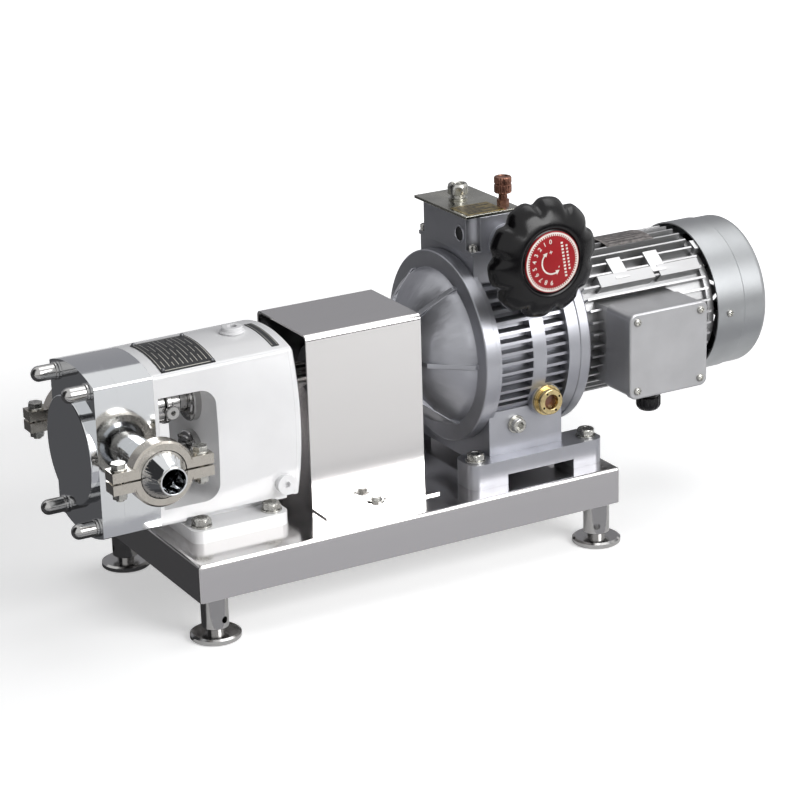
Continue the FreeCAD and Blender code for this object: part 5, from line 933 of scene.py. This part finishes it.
def oil_filler():
    """Filler neck on the lid: a broad hexagon collar with a rounded top and an open bore."""
    foot = foot_of("oil_filler")
    turned_piece("filler_neck", zinc_steel, "oil_filler",
                 [(5, 0), (9.6, 0), (9.8, 0.4), (9.8, 1.8), (7.8, 2.4), (7.6, 5), (9.6, 6),
                  (9.8, 6.6, chamfered_hexagon), (9.9, 13, chamfered_hexagon), (10.2, 14.4),
                  (9.8, 15.8), (8.8, 16.8), (7.8, 17), (6.6, 16.2), (6.2, 15), (6, 9)],
                 foot, UP, 72, closed=True)
    # A black disc inside the open bore: painted shade for the dark inside of the box.
    turned_piece("filler_bore_shade", black_rubber, "oil_filler",
                 [(0, 10.6), (6.1, 10.6), (6.1, 11.2), (0, 11.2)], foot, UP, 36, replaced=False)


def vent(sizes):
    """Breather cap with a grooved grip, on a waisted stem with a hexagon foot."""
    foot = foot_of("vent_cap")

    def grooved(angle):
        return 1.0 - 0.1 * max(0.0, math.cos(sizes.knurls * angle)) ** 3

    turned_piece("vent", copper_brown, "vent_cap",
                 [(0, 0), (5.4, 0, hexagon), (5.4, 4.5, hexagon), (4.6, 5), (4.4, 10), (5.2, 11),
                  (8.2, 11.5), (8.9, 12.2), (9, 13, grooved), (9, 19, grooved), (8.9, 19.8),
                  (8.2, 20.4), (8.2, 21.2), (8.9, 21.8), (9, 22.4, grooved), (9, 27, grooved),
                  (8.4, 28), (7, 28.5), (5.6, 28.5), (5.2, 27.6), (0, 27.6)], foot, UP, 144)


def lid_label():
    """Bare gold plate with dark fields on the lid, in front of the filler."""
    surface = surface_of("control_lid")
    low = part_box("control_lid")[0]
    x0, x1, y0, y1 = low.x + 4 * MM, low.x + 47 * MM, low.y + 4 * MM, low.y + 38 * MM
    middle = (y0 + y1) / 2
    bm = bmesh.new()
    laid_strip(bm, surface, (x0, middle), (x1, middle), (y1 - y0) / MM, 0.02, 0.3)
    piece(bm, "lid_label", gold_plate, "control_lid", replaced=False)
    bm = bmesh.new()
    rows = 8
    for row in range(1, rows):
        y = y0 + (y1 - y0) * row / rows
        laid_strip(bm, surface, (x0 + 3 * MM, y), (x1 - (3 + 9 * (row % 3)) * MM, y), 2.0, 0.33,
                   0.06)
    piece(bm, "lid_label_fields", etched_plate, "control_lid", replaced=False)


def port_plug():
    """Black disc with a hexagon dimple in the control box's end, with a cast ring round it:
    painted shade for the port's dark recess.
    """
    across, up = -0.0248, 0.3322
    seat = (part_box("control_box")[0].x, across, up)
    turned_piece("port_ring", silver_paint, "control_box",
                 [(7.2, -0.2), (9.2, -0.2), (9.2, 0.5), (8.7, 1.0), (7.7, 1.0), (7.2, 0.4)],
                 seat, TO_PUMP, 48, closed=True, replaced=False)
    # The black disc is painted shade for the port's recess.
    turned_piece("port_plug", black_rubber, "control_box",
                 [(0, -0.2), (7.1, -0.2), (7.1, 0.2), (4, 0.2), (3.6, 0.1, hexagon), (0, 0.1)],
                 seat, TO_PUMP, 48, replaced=False)


class PUMPSET_OT_motor(DressStep):
    """Finned flange motor with fan cowl and terminal box"""
    bl_idname = "pumpset.motor"
    bl_label = "Motor"
    table = (("motor_flange", "flange_shield", silver_paint, 0.5),
             ("motor_frame", "finned_frame", die_cast_aluminium, 0.4),
             ("motor_end_shield", "end_shield", die_cast_aluminium, 0.4),
             ("stator", "stator_core", dark_steel, 0),
             ("motor_rotor", "rotor_core", dark_steel, 0.2),
             ("cooling_fan", "fan", phenolic, 0.2),
             ("fan_cowl", "cowl", cowl_paint, 0.4),
             ("terminal_box", "junction_box", box_paint, 0.6),
             ("terminal_box_lid", "junction_box_lid", box_paint, 0.5))

    def add(self, sizes):
        cover_screws()
        gland()
        motor_plate()


def cover_screws():
    """Socket screws of the control box, and crosshead screws of the terminal box and cowl."""
    bm = bmesh.new()
    for low, high in separate_solids("cover_screws"):
        span, middle = (high - low) / MM, (low + high) / 2
        if span.z < span.y:
            socket_screw(bm, Vector((middle.x, middle.y, low.z)), span.z)
        else:
            pan_screw(bm, Vector((middle.x, high.y, middle.z)), span.x / 2, span.y)
    piece(bm, "cover_screw_set", zinc_steel, "cover_screws")


def bent_sheet(bm, axis, radius, x_span, y_span, thick, bends):
    """A sheet bent over the top of a round form that lies along the machine."""
    first, last = (math.asin((y - axis.y) / radius) for y in y_span)
    rows = []
    for step in range(bends + 1):
        angle = first + (last - first) * step / bends
        aim = Vector((0, math.sin(angle), math.cos(angle)))
        rows.append([bm.verts.new(Vector((x, axis.y, axis.z)) + aim * reach)
                     for reach in (radius, radius + thick) for x in x_span])
    join_rows(bm, rows)


def motor_plate():
    """Dull plate bent over the tips of the motor's fins, with raised lines along it."""
    axis = middle_of("fan_cowl")
    thick, raised = 0.7 * MM, 0.1 * MM
    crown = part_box("motor_frame")[1].z - axis.z + raised
    front, back = 0.2310, 0.2890
    near, far = -0.014, 0.030
    bm = bmesh.new()
    bent_sheet(bm, axis, crown, (front, back), (near, far), thick, 12)
    piece(bm, "motor_plate", weathered_sheet, "motor_frame", replaced=False)
    bm = bmesh.new()
    lines, half = 8, 0.6 * MM
    for line in range(1, lines):
        middle = near + (far - near) * line / lines
        ends = (front + 4 * MM, back - (4 + 6 * (line % 3)) * MM)
        bent_sheet(bm, axis, crown + thick, ends, (middle - half, middle + half), raised, 1)
    piece(bm, "motor_plate_lines", etched_plate, "motor_frame", replaced=False)


def gland():
    """Cable gland: a hexagon body and a ribbed cap that narrows to its opening."""
    top = middle_of("cable_gland")
    top.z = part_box("cable_gland")[1].z

    def ribbed(angle):
        return 1.0 - 0.05 * max(0.0, math.cos(12 * angle)) ** 2

    turned_piece("gland", phenolic, "cable_gland",
                 [(6.6, 0), (11.6, 0), (11.6, 0.6, hexagon), (11.6, 7, hexagon), (11.2, 7.8),
                  (12.4, 8.4), (12.9, 9, ribbed), (12.9, 17, ribbed), (12, 19.5, ribbed),
                  (10, 22), (8, 23), (6.6, 23)], top, DOWN, 96, closed=True)


class PUMPSET_OT_stage(bpy.types.Operator):
    """White studio: floor, soft lamps, cloths for the metal to reflect, and the camera"""
    bl_idname = "pumpset.stage"
    bl_label = "Studio"
    bl_options = {"REGISTER", "UNDO"}

    def execute(self, context):
        for make in (make_world, make_floor, make_cards, make_lamps, make_camera):
            make(context.scene)
        context.scene.view_settings.view_transform = "Standard"
        return {"FINISHED"}


def seen_ray(tree):
    """1 for rays that show the background: from the camera, off gloss or through glass."""
    path = add_node(tree, "ShaderNodeLightPath")
    seen = path.outputs["Is Camera Ray"]
    for kind in ("Is Glossy Ray", "Is Transmission Ray"):
        seen = add_node(tree, "ShaderNodeMath", {"operation": "MAXIMUM"},
                        {0: seen, 1: path.outputs[kind]}).outputs[0]
    return seen


def make_world(scene):
    """Air that lights the set softly and shows white."""
    world = bpy.data.worlds.new("studio_air")
    scene.world = world
    tree = cleared(world)
    light = add_node(tree, "ShaderNodeBackground", {"Color": linear("#ECEDF0"), "Strength": 0.2})
    shown = add_node(tree, "ShaderNodeBackground", {"Color": (1, 1, 1, 1), "Strength": 1.0})
    mix = add_node(tree, "ShaderNodeMixShader", {}, {0: seen_ray(tree), 1: light.outputs[0],
                                                     2: shown.outputs[0]})
    add_node(tree, "ShaderNodeOutputWorld", {}, {"Surface": mix.outputs[0]})


def sheet_of(name, corners, material, scene):
    """A flat sheet of the studio."""
    mesh = bpy.data.meshes.new(name)
    mesh.from_pydata([Vector(corner) for corner in corners], [], [tuple(range(len(corners)))])
    mesh.materials.append(material)
    obj = bpy.data.objects.new(name, mesh)
    scene.collection.objects.link(obj)
    return obj


def flat(x0, x1, y0, y1, height=0.001):
    """The corners of a level sheet."""
    return [(x0, y0, height), (x1, y0, height), (x1, y1, height), (x0, y1, height)]


def make_floor(scene):
    """White paper that keeps the set's shadow and runs out to plain white."""
    material = bpy.data.materials.new("white_floor")
    tree = cleared(material)
    paper = add_node(tree, "ShaderNodeBsdfDiffuse", {"Color": linear("#F4F4F4")})
    spot = add_node(tree, "ShaderNodeTexCoord")
    distance = add_node(tree, "ShaderNodeVectorMath", {"operation": "LENGTH"},
                        {0: spot.outputs["Object"]})
    glow = mapped(tree, distance.outputs["Value"], 0.6, 1.5, 0.45)
    path = add_node(tree, "ShaderNodeLightPath")
    share = mapped(tree, path.outputs["Is Camera Ray"], 0.0, 1.0, 0.3)
    strength = add_node(tree, "ShaderNodeMath", {"operation": "MULTIPLY"}, {0: glow, 1: share})
    light = add_node(tree, "ShaderNodeEmission", {"Color": (1, 1, 1, 1)},
                     {"Strength": strength.outputs[0]})
    shown = add_node(tree, "ShaderNodeAddShader", {}, {0: paper.outputs[0], 1: light.outputs[0]})
    mix = add_node(tree, "ShaderNodeMixShader", {}, {0: seen_ray(tree), 1: paper.outputs[0],
                                                     2: shown.outputs[0]})
    add_node(tree, "ShaderNodeOutputMaterial", {}, {"Surface": mix.outputs[0]})
    far, under = 12.0, -0.0005
    sheet_of("floor", flat(-far, far, -far, far, under), material, scene)


CLOTHS = (
    ("cloth_behind", 0.36, [(-3.0, 2.9, 0.0), (3.6, 1.6, 0.0), (3.6, 1.9, 2.4), (-3.0, 3.2, 2.4)]),
    ("cloth_at_pump", 0.06, flat(-0.45, -0.262, -0.1, 3.0)),
    ("cloth_left", 0.10, flat(-3.0, -0.45, -0.1, 3.0)),
    ("wall_left", 0.04, [(-3.0, -0.6, 0.0), (-3.0, 3.2, 0.0), (-3.0, 3.2, 6.0),
                         (-3.0, -0.6, 6.0)]),
    ("cloth_front", 0.10, flat(-2.0, 3.0, -3.5, -0.95)),
    ("strip_front", 0.50, flat(-0.8, 0.9, -0.32, -0.135)),
)


def make_cards(scene):
    """Cloths round the set that only reflections meet, from black to pale grey."""
    for name, grey, corners in CLOTHS:
        cloth = bpy.data.materials.new(name)
        tree = cleared(cloth)
        glow = add_node(tree, "ShaderNodeEmission", {"Color": (grey, grey, grey * 1.05, 1)})
        add_node(tree, "ShaderNodeOutputMaterial", {}, {"Surface": glow.outputs[0]})
        card = sheet_of(name, corners, cloth, scene)
        for kind in ("camera", "diffuse", "shadow", "transmission"):
            setattr(card, "visible_" + kind, False)


def make_lamps(scene):
    """A large soft key on the viewer's right and a softer one above the motor end."""
    lamps = (("key_softbox", (0.9, -2.4, 1.5), (0.0, 0.0, 0.15), 1.6, 57),
             ("top_softbox", (0.9, 0.0, 2.4), (0.0, 0.0, 0.1), 1.6, 18))
    for name, where, aim, size, power in lamps:
        data = bpy.data.lights.new(name, "AREA")
        data.shape = "SQUARE"
        data.size = size
        data.energy = power
        lamp = bpy.data.objects.new(name, data)
        scene.collection.objects.link(lamp)
        lamp.location = where
        lamp.rotation_euler = (Vector(aim) - Vector(where)).to_track_quat("-Z", "Y").to_euler()


def make_camera(scene):
    """The photo's viewpoint: from the handwheel side, well to the pump's end and above."""
    turn, rise, roll = math.radians(28.91), math.radians(19.45), math.radians(-1.68)
    distance, aim = 2.7301, Vector((-0.01169, 0.0052, 0.15727))
    ahead = Vector((math.sin(turn) * math.cos(rise), math.cos(turn) * math.cos(rise),
                    -math.sin(rise)))
    right = Vector((math.cos(turn), -math.sin(turn), 0))
    up = right.cross(ahead)
    side = right * math.cos(roll) + up * math.sin(roll)
    top = up * math.cos(roll) - right * math.sin(roll)
    data = bpy.data.cameras.new("photo_camera")
    data.sensor_width = 36
    data.lens = 119.67
    data.clip_end = 60
    camera = bpy.data.objects.new("photo_camera", data)
    scene.collection.objects.link(camera)
    camera.matrix_world = Matrix.Translation(aim - ahead * distance) @ \
        Matrix((side, top, -ahead)).transposed().to_4x4()
    scene.camera = camera


STEPS = (PUMPSET_OT_base, PUMPSET_OT_pump, PUMPSET_OT_ports, PUMPSET_OT_coupling,
         PUMPSET_OT_variator, PUMPSET_OT_controls, PUMPSET_OT_motor, PUMPSET_OT_stage)


class PUMPSET_PT_panel(bpy.types.Panel):
    """Colours, sizes and the steps that build the pump set"""
    bl_label = "Pump Set"
    bl_idname = "PUMPSET_PT_panel"
    bl_space_type = "VIEW_3D"
    bl_region_type = "UI"
    bl_category = "Pump Set"

    def draw(self, context):
        for group in (context.scene.pump_finish, context.scene.pump_sizes):
            for name in group.__annotations__:
                self.layout.prop(group, name)
        for step in STEPS:
            self.layout.operator(step.bl_idname)


CLASSES = (PumpFinish, PumpSizes) + STEPS + (PUMPSET_PT_panel,)


def register():
    """Makes the settings, steps and panel known."""
    for cls in CLASSES:
        bpy.utils.register_class(cls)
    bpy.types.Scene.pump_finish = PointerProperty(type=PumpFinish)
    bpy.types.Scene.pump_sizes = PointerProperty(type=PumpSizes)


def unregister():
    """Takes them out again."""
    del bpy.types.Scene.pump_sizes
    del bpy.types.Scene.pump_finish
    for cls in reversed(CLASSES):
        bpy.utils.unregister_class(cls)


def main():
    """Runs every step in turn."""
    register()
    for step in STEPS:
        group, name = step.bl_idname.split(".")
        getattr(getattr(bpy.ops, group), name)()


if __name__ == "__main__":
    main()
